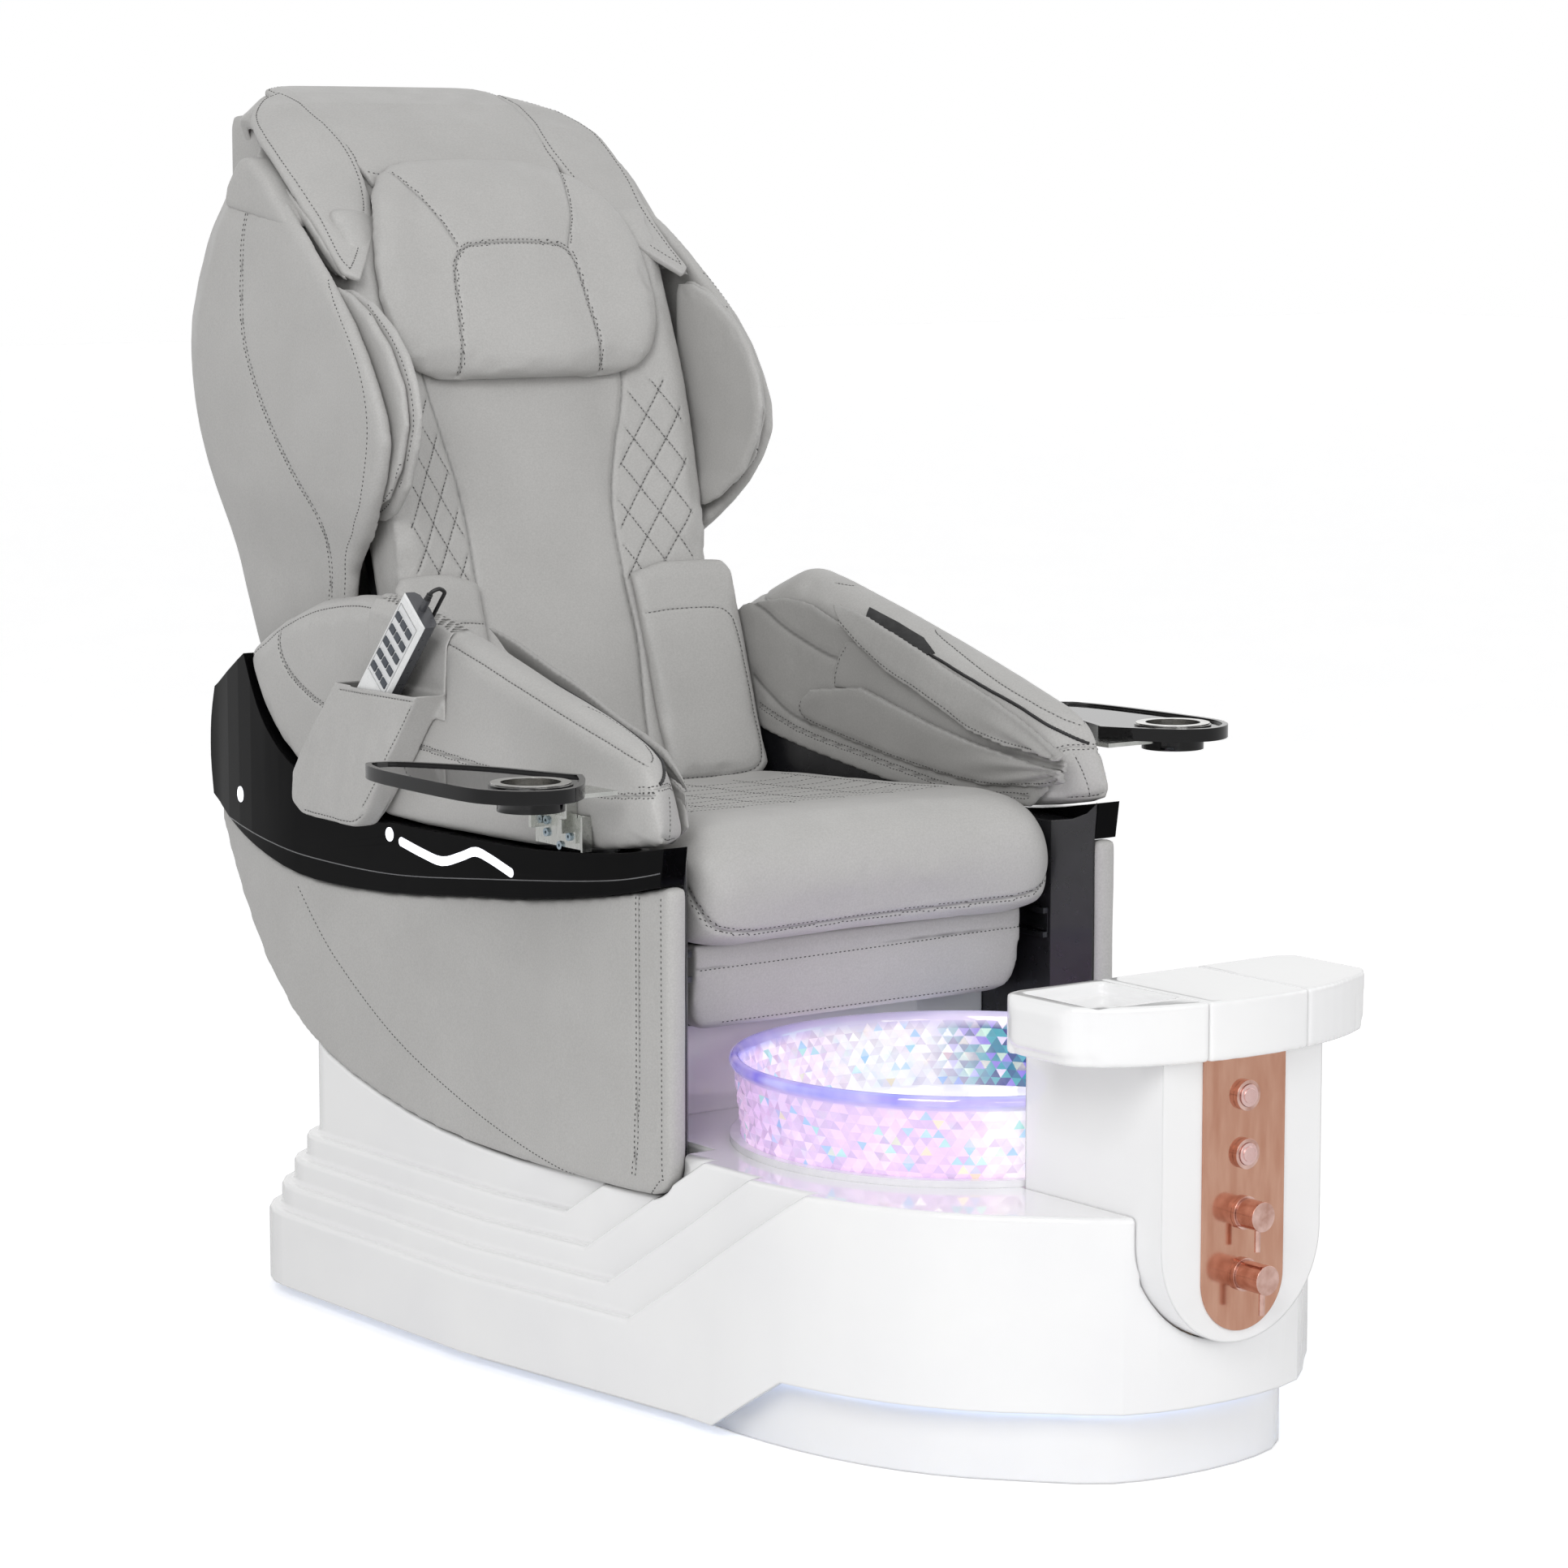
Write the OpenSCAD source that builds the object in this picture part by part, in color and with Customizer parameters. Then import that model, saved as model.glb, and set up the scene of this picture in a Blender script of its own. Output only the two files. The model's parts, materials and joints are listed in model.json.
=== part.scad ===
// Pedicure spa chair: a massage chair on rails over a glass foot bowl in a white moulded base.
// Millimetres, +Z up. The chair faces -Y and +X is the sitter's left.
// The origin lies on the floor, on the plane of symmetry, at the middle of the base.

/* [Base] */
// Height of the deck that the bowl stands in
deck_h = 295; // [285:1:310]
// Half of the width across the rear of the base
base_half_w = 395; // [385:1:410]
// Half of the width across the round front of the base
drum_half_w = 350; // [345:1:360]
// Length of the round front, from its widest place to its tip
drum_len = 494; // [485:1:510]
// Place of the rear face of the base
base_rear = 716; // [690:1:730]
// Radius of the base's rear corners
base_corner = 120; // [100:1:140]
// Height of the lowest ledge
ledge_h = 105; // [95:1:115]
// Rise from one ledge to the next
ledge_rise = 30; // [26:1:34]
// Depth of each ledge
ledge_in = 16; // [12:1:20]
// Height of the block that carries the chair
block_h = 400; // [390:1:410]
// Wall of the moulded shell
shell_t = 6; // [5:0.5:8]
// Height of the recessed plinth
plinth_h = 78; // [70:1:84]
// Setback of the plinth from the base's edge
plinth_in = 30; // [26:1:40]

/* [Bowl] */
// Radius of the bowl at its rim
bowl_r = 268; // [258:1:270]
// How far the bowl draws in at the deck
bowl_draw = 14; // [10:1:20]
// Height of the rim above the deck
bowl_rise = 100; // [90:1:102]
// Depth of the bowl below the deck
bowl_sink = 92; // [70:1:100]
// Wall of the bowl
bowl_t = 11; // [9:0.5:13]
// Place of the bowl's centre
bowl_y = -260; // [-264:1:-258]

/* [Pedestal] */
// Half of the pedestal's width
post_half_w = 113; // [105:1:118]
// Place of the pedestal's front face
post_front = -730; // [-735:1:-726]
// Height of the pedestal's top
post_h = 466; // [460:1:480]
// Height of the centre of the round lower end
post_round_h = 266; // [258:1:272]
// Half of the control panel's width
panel_half_w = 58; // [54:1:62]
// Height of the lower button
button_h = 358; // [354:1:364]
// Distance between the buttons
button_pitch = 63; // [58:1:68]
// Radius of a button
button_r = 12; // [10:0.5:13]
// Height of the upper tap
tap_h = 294; // [290:1:298]
// Distance between the taps
tap_pitch = 67; // [64:1:72]
// Radius of a tap's knob
knob_r = 16; // [14:0.5:18]

/* [Footrest] */
// Half of the footrest's width
rest_half_w = 215; // [205:1:230]
// Place of the seam between two sections of the footrest
rest_seam = 70; // [60:1:80]
// Thickness of the footrest
rest_t = 64; // [58:1:70]
// Place of the footrest's rear edge
rest_rear = -575; // [-580:1:-565]
// Place of the footrest's front edge
rest_front = -760; // [-775:1:-755]

/* [Arms] */
// Half of the distance between the arms
arm_in = 267; // [266:0.5:269]
// Thickness of an arm's inner moulding
arm_wall = 34; // [30:1:36]
// Half of the width over the arms at their middle
arm_out = 336; // [330:1:345]
// Place of the arms' front edges
arm_front = -144; // [-150:1:-138]
// How far the gloss band stands out of the arm
band_out = 5; // [3:0.5:8]

/* [Seat] */
// Half of the seat's width
seat_half_w = 262; // [255:0.5:263]
// Height of the seat's crest
seat_h = 655; // [645:1:660]
// Thickness of the seat cushion
seat_t = 130; // [120:1:134]
// Place of the seat's front
seat_front = -118; // [-124:1:-112]
// Travel of the seat on its rails
seat_travel = 100; // [80:1:110]

/* [Backrest] */
// Half of the width across the wings
wing_half_w = 302; // [296:1:308]
// Half of the back's width between the arms
waist_half_w = 261; // [255:0.5:262]
// Wall of the back's shell
wing_t = 22; // [20:1:24]
// Height of the recline hinge over the block that carries the chair
hinge_rise = 120; // [116:1:126]
// Place of the recline hinge
hinge_y = 540; // [535:1:545]
// Half of the pillow's width
pillow_half_w = 212; // [200:1:220]
// Thickness of the pillow at its middle
pillow_t = 42; // [38:1:46]
// Thickness of the leather hood
hood_t = 14; // [10:1:18]

/* [Trays] */
// Height of a tray's top
tray_h = 721; // [716:1:728]
// Thickness of a tray
tray_t = 16; // [14:1:18]
// Distance of a cup's centre from the plane of symmetry
cup_x = 470; // [466:1:476]
// Radius of a cup
cup_r = 35; // [32:1:36]
// Depth of a cup
cup_d = 26; // [22:1:28]

/* [Hidden] */
$fn = 64;

fit = 0.3;          // clearance between bodies
seat_gap = 0.5;     // clearance between pieces of one body
big = 2000;         // longer than the chair

// ---------- helpers ----------

function sgn(v) = v < 0 ? -1 : 1;
function clamp01(v) = min(1, max(0, v));
function ease(v) = let (c = clamp01(v)) c * c * (3 - 2 * c);
function mix(a, b, t) = a + (b - a) * t;

// Value of a curve through hand-set points [place, value], by straight interpolation
function along(pts, v) = lookup(v, pts);

// Smooth curve through points, with n steps between two of them
function smooth(pts, n = 6) = [
    for (i = [0 : len(pts) - 2]) let (
        a = pts[max(0, i - 1)], b = pts[i], c = pts[i + 1], d = pts[min(len(pts) - 1, i + 2)]
    ) for (j = [0 : n - 1]) let (t = j / n)
        0.5 * (2 * b + (c - a) * t + (2 * a - 5 * b + 4 * c - d) * t * t
            + (3 * b - a - 3 * c + d) * t * t * t),
    pts[len(pts) - 1]];

// Six times the volume that faces enclose, with its sign
function volume6(pts, faces) = let (v = [for (f = faces) cross(pts[f[0]], pts[f[1]]) * pts[f[2]]])
    v * [for (i = v) 1];

// Closed solid through rings of equal length; each end is closed by a strip across its ring
module loft(rings) {
    n = len(rings[0]);
    m = len(rings);
    half = n / 2;
    sides = [for (r = [0 : m - 2], i = [0 : n - 1], k = [0, 1]) let (
        j = (i + 1) % n, a = r * n + i, b = r * n + j, c = a + n, d = b + n
    ) k == 0 ? [a, b, d] : [a, d, c]];
    caps = [for (e = [0, 1], i = [0 : half - 2], k = [0, 1]) let (
        o = e * (m - 1) * n, a = o + i, b = o + i + 1, c = o + n - 2 - i, d = o + n - 1 - i,
        f = k == 0 ? [a, d, c] : [a, c, b]
    ) if (i < half - 1 || k == 0) e == 0 ? f : [f[2], f[1], f[0]]];
    points = [for (r = rings) each r];
    faces = concat(sides, caps);
    polyhedron(points, volume6(points, faces) < 0 ? faces : [for (f = faces) [f[2], f[1], f[0]]]);
}

module along_x(x0, w) { translate([x0, 0, 0]) rotate([90, 0, 90]) linear_extrude(w) children(); }
module along_y(y0, l) { translate([0, y0 + l, 0]) rotate([90, 0, 0]) linear_extrude(l) children(); }
module both_sides() {
    children();
    mirror([1, 0, 0]) children();
}
module on_left(side) {
    if (side > 0) children();
    else mirror([1, 0, 0]) children();
}

// ---------- base ----------

drum_y = -190;              // widest place of the round front
drum_n = 2.28;              // squareness of the round front
drum_boss = 24;             // how far it comes forward round the pedestal
taper_end = 190;            // where the base reaches its full width
ledges = 4;
ramp_slope = 0.65;          // rise of a ledge's ramp over its run
ramp_start = -100;          // where the lowest ledge starts to climb
ramp_pitch = 55;            // how far behind it the next one starts
block_front = bowl_y + bowl_r + 27;
skirt_gap = 12;             // height of the flanks over the floor
step_start = -250;          // where the flank's lower edge starts to climb to the drum's
step_end = -360;
drum_bottom = plinth_h + 4;

// Outline of the base seen from above, drawn in by d
function outline_half(d) = concat(
    [for (a = [90 : -6 : 6]) let (x = (drum_half_w - d) * pow(cos(a), 2 / drum_n)) [
        x, drum_y - (drum_len - d) * pow(sin(a),
            2 / drum_n) - drum_boss * (1 - ease((x - post_half_w) / 90))]],
    [[drum_half_w - d, drum_y], [base_half_w - d, taper_end]],
    [for (a = [0 : 15 : 90]) [
        base_half_w - base_corner + (base_corner - d) * cos(a),
        base_rear - base_corner + (base_corner - d) * sin(a)]]);
module outline(d = 0) {
    h = outline_half(d);
    n = len(h);
    polygon(concat(h, [for (i = [n - 1 : -1 : 1]) [-h[i][0], h[i][1]]]));
}

// Region of the side view under ledge k, lowered by dz
module ledge_profile(k, dz, z0) {
    z = ledge_h + k * ledge_rise - dz;
    y = ramp_start + k * ramp_pitch;
    run = (deck_h - dz - z) / ramp_slope;
    polygon([[-big, z0], [-big, deck_h - dz], [y - run, deck_h - dz], [y, z], [big, z], [big, z0]]);
}
module block_profile(dz, z0) {
    polygon([[-big, z0], [-big, deck_h - dz], [block_front + dz, deck_h - dz],
        [block_front + dz, block_h - dz], [big, block_h - dz], [big, z0]]);
}
module stepped_body(d, z0) {
    difference() {
        union() {
            for (k = [0 : ledges - 1]) intersection() {
                linear_extrude(big) outline(d + k * ledge_in);
                along_x(-big / 2, big) ledge_profile(k, d, z0);
            }
            intersection() {
                linear_extrude(big) outline(d + ledges * ledge_in);
                along_x(-big / 2, big) block_profile(d, z0);
            }
        }
        both_sides() arm_room(d);
    }
}
// Room for an arm in the base, grown by d
arm_room_gap = 3;
module arm_room(d) {
    g = arm_room_gap + d;
    along_x(arm_in - 1 - d, big) polygon(concat([[arm_front - g, big], [arm_front - g, 300]],
        [for (q = low_edge) q - [q[0] < -100 ? g * 0.7 : 0, g]], [[big, 592], [big, big]]));
}

frame_hole_half = 232;      // opening in the block that the chair's frame stands in
frame_hole_front = 60;
frame_hole_rear = 560;
post_gap = 1;               // clearance round the pedestal in the shell
bowl_foot_r = bowl_r - bowl_draw;
bowl_hole_r = bowl_foot_r - 8;

module base_shell() {
    color("white") difference() {
        stepped_body(0, 0);
        translate([0, 0, -1]) stepped_body(shell_t, 0);
        // the lower edge: near the floor along the flanks, high over the plinth at the front
        along_x(-big / 2, big) polygon([[-big, -1], [-big, drum_bottom], [step_end, drum_bottom],
            [step_start, skirt_gap], [big, skirt_gap], [big, -1]]);
        translate([0, bowl_y, 0]) cylinder(r = bowl_hole_r, h = big);
        along_y(-big, big + post_rear) post_section(post_gap);
        translate([-frame_hole_half, frame_hole_front, 0])
            cube([2 * frame_hole_half, frame_hole_rear - frame_hole_front, big]);
    }
}

board_t = 16;
board_in = shell_t + 1;
board_z = drum_bottom;
module chassis_board() {
    color("tan") difference() {
        translate([0, 0, board_z]) linear_extrude(board_t) outline(board_in);
        translate([0, drain_y, 0]) cylinder(r = drain_r + 6, h = big);
        for (s = [-1, 1]) translate([s * hose_x, hose_y, 0]) cylinder(r = hose_r + 2, h = big);
        along_y(-big, big + post_rear) post_section(post_gap);
    }
}

plinth_t = 16;
module plinth() {
    color("white") difference() {
        linear_extrude(board_z - seat_gap) outline(plinth_in);
        difference() {
            translate([0, 0, -1]) linear_extrude(big) outline(plinth_in + plinth_t);
            translate([-big / 2, -plinth_t, -1]) cube([big, 2 * plinth_t, big]);
        }
    }
}

light_w = 8;
light_t = 4;
module plinth_light() {
    color("lightblue") difference() {
        translate([0, 0, board_z - light_t - seat_gap]) linear_extrude(light_t) outline(plinth_in
            - light_w);
        translate([0, 0, -1]) linear_extrude(big) outline(plinth_in - seat_gap);
    }
}

// ---------- bowl ----------

bowl_floor = deck_h - bowl_sink;
bowl_floor_r = 190;
rim_h = deck_h + bowl_rise;
rim_lip = 5;
drain_y = bowl_y;
drain_r = 28;

module bowl() {
    color("plum") translate([0, bowl_y, 0]) rotate_extrude() difference() {
        polygon([[drain_r, bowl_floor], [bowl_floor_r, bowl_floor], [bowl_hole_r - 12, bowl_floor + 40],
            [bowl_hole_r - 2, deck_h + 0.3], [bowl_foot_r, deck_h + 0.3],
            [bowl_r - rim_lip, rim_h - 16], [bowl_r, rim_h - 11], [bowl_r, rim_h - 4],
            [bowl_r - 4, rim_h], [bowl_r - bowl_t, rim_h], [bowl_r - bowl_t, rim_h + 1], [0, rim_h + 1],
            [0, bowl_floor]]);
        polygon([[0, bowl_floor + bowl_t], [bowl_floor_r - 6, bowl_floor + bowl_t],
            [bowl_hole_r - 24, bowl_floor + 46], [bowl_foot_r - bowl_t - 3, deck_h + 10],
            [bowl_r - bowl_t - 3, rim_h - 8], [bowl_r - bowl_t, rim_h], [bowl_r - bowl_t, rim_h + 2],
            [0, rim_h + 2]]);
        square([drain_r, rim_h + 3]);
    }
}

ring_t = 8;
ring_w = 12;
module bowl_ring() {
    color("gainsboro") translate([0, bowl_y, 0]) rotate_extrude()
        translate([bowl_foot_r + 1.2, deck_h]) square([ring_w, ring_t]);
}

drain_flange_r = 36;
module bowl_drain() {
    color("silver") translate([0, drain_y, 0]) difference() {
        union() {
            translate([0, 0, bowl_floor + bowl_t + 0.2]) cylinder(r = drain_flange_r, h = 3);
            translate([0, 0, 40]) cylinder(r = drain_r - 1, h = bowl_floor + bowl_t - 39);
        }
        translate([0, 0, 39]) cylinder(r = drain_r - 5, h = bowl_floor + bowl_t - 35);
        for (a = [0 : 60 : 300]) rotate(a) translate([13, 0, 0]) cylinder(r = 4.5, h = big);
    }
}

pump_x = 110;
pump_y = 90;
pump_r = 48;
module jet_pump() {
    z = board_z + board_t;
    color("dimgray") {
        translate([pump_x - 60, pump_y - 55, z]) cube([120, 110, 6]);
        translate([pump_x - 10, pump_y, z + 6]) cube([20, 60, 20], center = false);
        along_y(pump_y - 20, 120) translate([pump_x, z + 20 + pump_r]) circle(pump_r);
        along_y(pump_y - 55, 36) translate([pump_x, z + 20 + pump_r]) circle(pump_r + 12);
        translate([pump_x - 14, pump_y - 85, z + 20 + pump_r - 14]) cube([28, 32, 28]);
    }
}

control_y = 330;
module control_box() {
    color("darkslategray") translate([-170, control_y, board_z + board_t]) cube([150, 210, 75]);
}

// ---------- pedestal and footrest ----------

post_rear = bowl_y - bowl_r + 130;      // the pedestal reaches beside the bowl and is cut round it
post_wall = 7;
post_bowl_gap = 3;

// Section of the pedestal: straight above, round at its lower end
module post_section(g = 0) {
    r = post_half_w + g;
    translate([0, post_round_h]) circle(r);
    translate([-r, post_round_h]) square([2 * r, post_h - post_round_h + g]);
}
module pedestal() {
    color("white") difference() {
        along_y(post_front, post_rear - post_front) post_section();
        along_y(post_front + post_wall, post_rear - post_front) difference() {
            post_section(-post_wall);
            translate([-big / 2, post_h - post_wall]) square([big, big]);
        }
        translate([0, bowl_y, deck_h - 150]) cylinder(r = bowl_r + post_bowl_gap, h = big);
        translate([-big / 2, bowl_y - 120, -1]) cube([big, big, big]);
        for (s = [-1, 1]) translate([s * hose_x, hose_y, 0]) cylinder(r = hose_r + 1, h = post_round_h);
        // holes for the buttons and the taps
        for (i = [0, 1]) translate([0, post_front - 1, button_h + i * button_pitch])
            rotate([-90, 0, 0]) cylinder(r = button_r + 1, h = post_wall + 2);
        for (i = [0, 1]) translate([0, post_front - 1, tap_h - i * tap_pitch])
            rotate([-90, 0, 0]) cylinder(r = stem_r + 0.5, h = post_wall + 2);
    }
}

plate_t = 2;
module panel_section() {
    translate([0, post_round_h - 42]) circle(panel_half_w);
    translate([-panel_half_w, post_round_h - 42]) square([2 * panel_half_w, post_h - post_round_h + 41]);
}
module control_panel() {
    color("peru") difference() {
        along_y(post_front - plate_t - 0.2, plate_t) panel_section();
        for (i = [0, 1]) translate([0, post_front - 10, button_h + i * button_pitch])
            rotate([-90, 0, 0]) cylinder(r = button_r + 1, h = 20);
        for (i = [0, 1]) translate([0, post_front - 10, tap_h - i * tap_pitch])
            rotate([-90, 0, 0]) cylinder(r = stem_r + 0.5, h = 20);
    }
}

panel_face = post_front - plate_t - 0.2;
bezel_w = 4.5;
bezel_t = 6;
button_travel = 3;
module button_bezels() {
    color("rosybrown") for (i = [0, 1]) translate([0, panel_face - 0.2, button_h + i * button_pitch])
        rotate([90, 0, 0]) difference() {
            cylinder(r = button_r + bezel_w, h = bezel_t);
            translate([0, 0, -1]) cylinder(r = button_r + fit, h = bezel_t + 2);
        }
}
module push_button(h) {
    color("mistyrose") translate([0, panel_face - bezel_t + 1 - button_travel, h]) rotate([-90, 0, 0]) {
        cylinder(r = button_r, h = 26);
        translate([0, 0, -1.2]) cylinder(r = button_r - 4, h = 2);
    }
}
module jet_button() { push_button(button_h + button_pitch); }
module drain_button() { push_button(button_h); }

stem_r = 10;
valve_l = 60;
module valve_stems() {
    color("silver") for (i = [0, 1]) translate([0, panel_face, tap_h - i * tap_pitch]) {
        // flange on the plate, stem behind it and the brass body inside the pedestal
        rotate([90, 0, 0]) translate([0, 0, 0.2]) cylinder(r = knob_r + 2, h = 5);
        rotate([-90, 0, 0]) translate([0, 0, -1]) cylinder(r = stem_r, h = 24);
        rotate([-90, 0, 0]) translate([0, 0, 14]) cylinder(r = 20, h = valve_l - 14);
        rotate([90, 0, 0]) cylinder(r = 6, h = 12);
    }
}
knob_l = [26, 34];
lever_l = 26;
module tap_knob(i) {
    h = tap_h - i * tap_pitch;
    color("rosybrown") translate([0, panel_face - 5.5, h]) difference() {
        union() {
            rotate([90, 0, 0]) cylinder(r = knob_r, h = knob_l[i]);
            translate([0, 9 - knob_l[i], -knob_r + 3]) mirror([0, 0, 1]) cylinder(r = 3.2, h = lever_l);
        }
        rotate([90, 0, 0]) translate([0, 0, -1]) cylinder(r = 6 + 0.05, h = 9);
    }
}
module flow_knob() { tap_knob(0); }
module temp_knob() { tap_knob(1); }

hose_x = 45;
hose_y = post_front + 115;
hose_r = 8;
module supply_hoses() {
    color("gray") for (s = [-1, 1]) translate([s * hose_x, hose_y, 0]) difference() {
        union() {
            translate([0, 0, 30]) cylinder(r = hose_r, h = tap_h - tap_pitch - 30);
            translate([0, 0, tap_h - tap_pitch - 14]) cylinder(r = hose_r + 4, h = 16);
        }
        translate([0, 0, 29]) cylinder(r = hose_r - 3, h = tap_h - tap_pitch - 40);
    }
}

// Outline of the footrest: straight at the rear, curved at the front, with rounded corners
rest_corner = 34;
rest_crown = 62;            // how far the front curves forward from the corners to the middle
function rest_front_y(x) = rest_front + rest_crown * pow(abs(x) / rest_half_w, 2.2);
module rest_outline() {
    c = rest_corner;
    w = rest_half_w;
    polygon(concat(
        [for (i = [-10 : 10]) let (x = i / 10 * (w - c * 0.7)) [x, rest_front_y(x)]],
        [for (a = [-60 : 20 : 0]) [w - c + c * cos(a), rest_front_y(w - c * 0.4) + c + c * sin(a)]],
        [for (a = [0 : 22.5 : 90]) [w - c + c * cos(a), rest_rear - c + c * sin(a)]],
        [for (a = [90 : 22.5 : 180]) [-w + c + c * cos(a), rest_rear - c + c * sin(a)]],
        [for (a = [180 : 20 : 240]) [-w + c + c * cos(a), rest_front_y(w - c * 0.4) + c + c * sin(a)]]));
}
rest_z = post_h + 0.5;
dish_d = 14;
module rest_block() {
    // the lower edge is drawn in, the upper one has a chamfer
    intersection() {
        translate([0, 0, rest_z]) linear_extrude(rest_t) rest_outline();
        along_y(-big, 2 * big) polygon([[-rest_half_w + 8, rest_z], [-rest_half_w, rest_z + 14],
            [-rest_half_w, rest_z + rest_t - 10], [-rest_half_w + 9, rest_z + rest_t],
            [rest_half_w - 9, rest_z + rest_t], [rest_half_w, rest_z + rest_t - 10],
            [rest_half_w, rest_z + 14], [rest_half_w - 8, rest_z]]);
    }
}
module rest_part(x0, x1) {
    color("white") difference() {
        intersection() {
            rest_block();
            translate([x0, -big, 0]) cube([x1 - x0, 2 * big, big]);
        }
        translate([x0 + 6, rest_rear - 150, rest_z - 1]) cube([x1 - x0 - 12, 130, rest_t - 20]);
    }
}
module footrest_centre() { rest_part(-rest_seam + seat_gap, rest_seam - seat_gap); }
module footrest_left() { rest_part(rest_seam, big / 2); }
module footrest_right() {
    // this section has a shallow dish in its top
    difference() {
        rest_part(-big / 2, -rest_seam);
        color("white") translate([-rest_half_w + 26, rest_rear - 136, rest_z + rest_t - dish_d])
            cube([rest_half_w - rest_seam - 36, 118, dish_d + 1]);
    }
}

// ---------- frame and rails ----------

tube = 40;
leg_x = 205;
leg_front = 90;
leg_rear = 520;
hinge_h = block_h + hinge_rise;
seat_rail_z = hinge_h - 28; // underside of the seat's side tubes
beam_z = seat_rail_z - 52;  // underside of the frame's top beams
module chair_frame() {
    color("dimgray") {
        for (s = [-1, 1], y = [leg_front, leg_rear - tube])
            translate([s * leg_x - tube / 2, y, board_z + board_t]) cube([tube, tube,
                beam_z - board_z - board_t]);
        // two cross beams reach out to the arms, joined by two long beams
        for (y = [leg_front, leg_rear - tube]) translate([-arm_in + seat_gap, y, beam_z])
            cube([2 * (arm_in - seat_gap), tube, 20]);
        for (s = [-1, 1]) translate([s * leg_x - tube / 2, leg_front + tube, beam_z])
            cube([tube, leg_rear - leg_front - 2 * tube, 20]);
    }
}

rail_z = seat_rail_z - 14;
rail_h = 36;
seat_frame_half = 235;
rail_depth = 8;             // thickness of a fixed rail, on the arm's inner face
rail_front = -90;
rail_rear = 420;
runner_h = 22;
runner_t = 7;
module rails_fixed() {
    z = rail_z;
    color("black") both_sides() difference() {
        translate([arm_in - rail_depth - 0.2, rail_front, z]) cube([rail_depth, rail_rear - rail_front,
            rail_h]);
        // groove for the runner, open towards the seat
        translate([arm_in - rail_depth - 1, rail_front - 1, z + (rail_h - runner_h) / 2 - fit])
            cube([rail_depth - 1, rail_rear - rail_front + 2, runner_h + 2 * fit]);
    }
}
module rails_moving() {
    z = rail_z + (rail_h - runner_h) / 2;
    color("silver") both_sides()
        translate([seat_frame_half, frame_front + 21, z])
            cube([arm_in - 2.6 - seat_frame_half - fit, rail_rear - 31 - frame_front, runner_h]);
}

// ---------- arms ----------

arm_len_front = 290;        // where the arms reach their full width, from the front
arm_rear_bend = 640;        // where they start to draw in towards the rear
arm_rear = 905;
arm_draw = 8;
arm_tail = 36;

function arm_face(y) = arm_out
    - arm_draw * pow(clamp01((arm_len_front - y) / (arm_len_front - arm_front)), 2)
    - arm_tail * pow(clamp01((y - arm_rear_bend) / (arm_rear - arm_rear_bend)), 2);

// Region between the plane of symmetry and the arm's outer face, grown by g, seen from above
module arm_plan(g) {
    polygon(concat([[0, arm_front - 20], [0, arm_rear + 60]],
        [for (y = [arm_rear + 60 : -40 : arm_front - 20]) [arm_face(y) + g, y]]));
}
module arm_slab(x0, g) {
    intersection() {
        along_x(x0, 200) children();
        linear_extrude(big) arm_plan(g);
    }
}

// Curves of the side view, front to rear, as [place, height]
band_top_pts = [[arm_front + 3, 643], [-36, 626], [110, 614], [210, 612], [373, 611], [457, 615],
    [560, 631], [640, 653], [700, 684], [745, 724], [785, 785]];
band_low_pts = [[arm_front + 10, 599], [-36, 578], [110, 556], [239, 543], [382, 528], [518, 520],
    [636, 522], [754, 543], [850, 570], [905, 592]];
rear_pts = [[905, 592], [913, 640], [910, 690], [897, 732]];
low_pts = [[arm_front + 2, 300], [-138, 268], [-120, 249], [-86, 242], [60, 240], [222, 242], [400, 258],
    [589, 303], [711, 374], [815, 474], [880, 548], [905, 592]];
band_top = smooth(band_top_pts, 3);
band_low = smooth(band_low_pts, 3);
low_edge = smooth(low_pts, 3);
rear_edge = smooth(rear_pts, 3);
function reversed(v) = [for (i = [len(v) - 1 : -1 : 0]) v[i]];

module side_panel_shape() {
    n = len(low_edge) - 2;
    m = len(band_low) - 2;
    polygon(concat([for (i = [0 : n]) low_edge[i]], [for (i = [m : -1 : 0]) band_low[i] - [0, seat_gap]],
        [[arm_front, 597]]));
}
module band_shape() {
    polygon(concat(band_low, rear_edge, [[785, 785]], reversed(band_top)));
}

arm_inner_front = -92;
skin_in = arm_in + arm_wall + 0.2;
module side_panel() { color("darkgray") arm_slab(skin_in, 0) side_panel_shape(); }
module side_panel_left() { on_left(1) side_panel(); }
module side_panel_right() { on_left(-1) side_panel(); }

// Inner moulding: follows the side panel, set in from its edges, with its top under the arm's cushion
inner_top_pts = [[-140, 651], [-128, 630], [-84, 619], [54, 629], [215, 647], [366, 679], [409, 701],
    [440, 735], [480, 752], [560, 752], [640, 745], [720, 735], [800, 725], [860, 700]];
inner_top = smooth(inner_top_pts, 2);
module arm_inner() {
    color([0.08, 0.08, 0.09]) intersection() {
        along_x(arm_in, arm_wall) polygon(concat(
            [[-134, 600], [-134, 300], [-120, 262], [-80, 254], [60, 252], [222, 254], [396, 270], [583,
                315],
                [700, 385], [803, 484], [870, 560], [890, 620], [880, 680]], reversed(inner_top)));
        // its front edge is set back towards the seat
        linear_extrude(big) polygon([[arm_in - 1, arm_inner_front], [arm_in + arm_wall + 1, arm_front + 5],
            [arm_in + arm_wall + 1, arm_rear], [arm_in - 1, arm_rear]]);
    }
}
module arm_inners() { both_sides() arm_inner(); }

module arm_band() {
    color([0.03, 0.03, 0.035]) difference() {
        arm_slab(skin_in, band_out) band_shape();
        arm_light_shapes(0.2);
    }
}
module arm_band_left() { on_left(1) arm_band(); }
module arm_band_right() { on_left(-1) arm_band(); }

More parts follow.
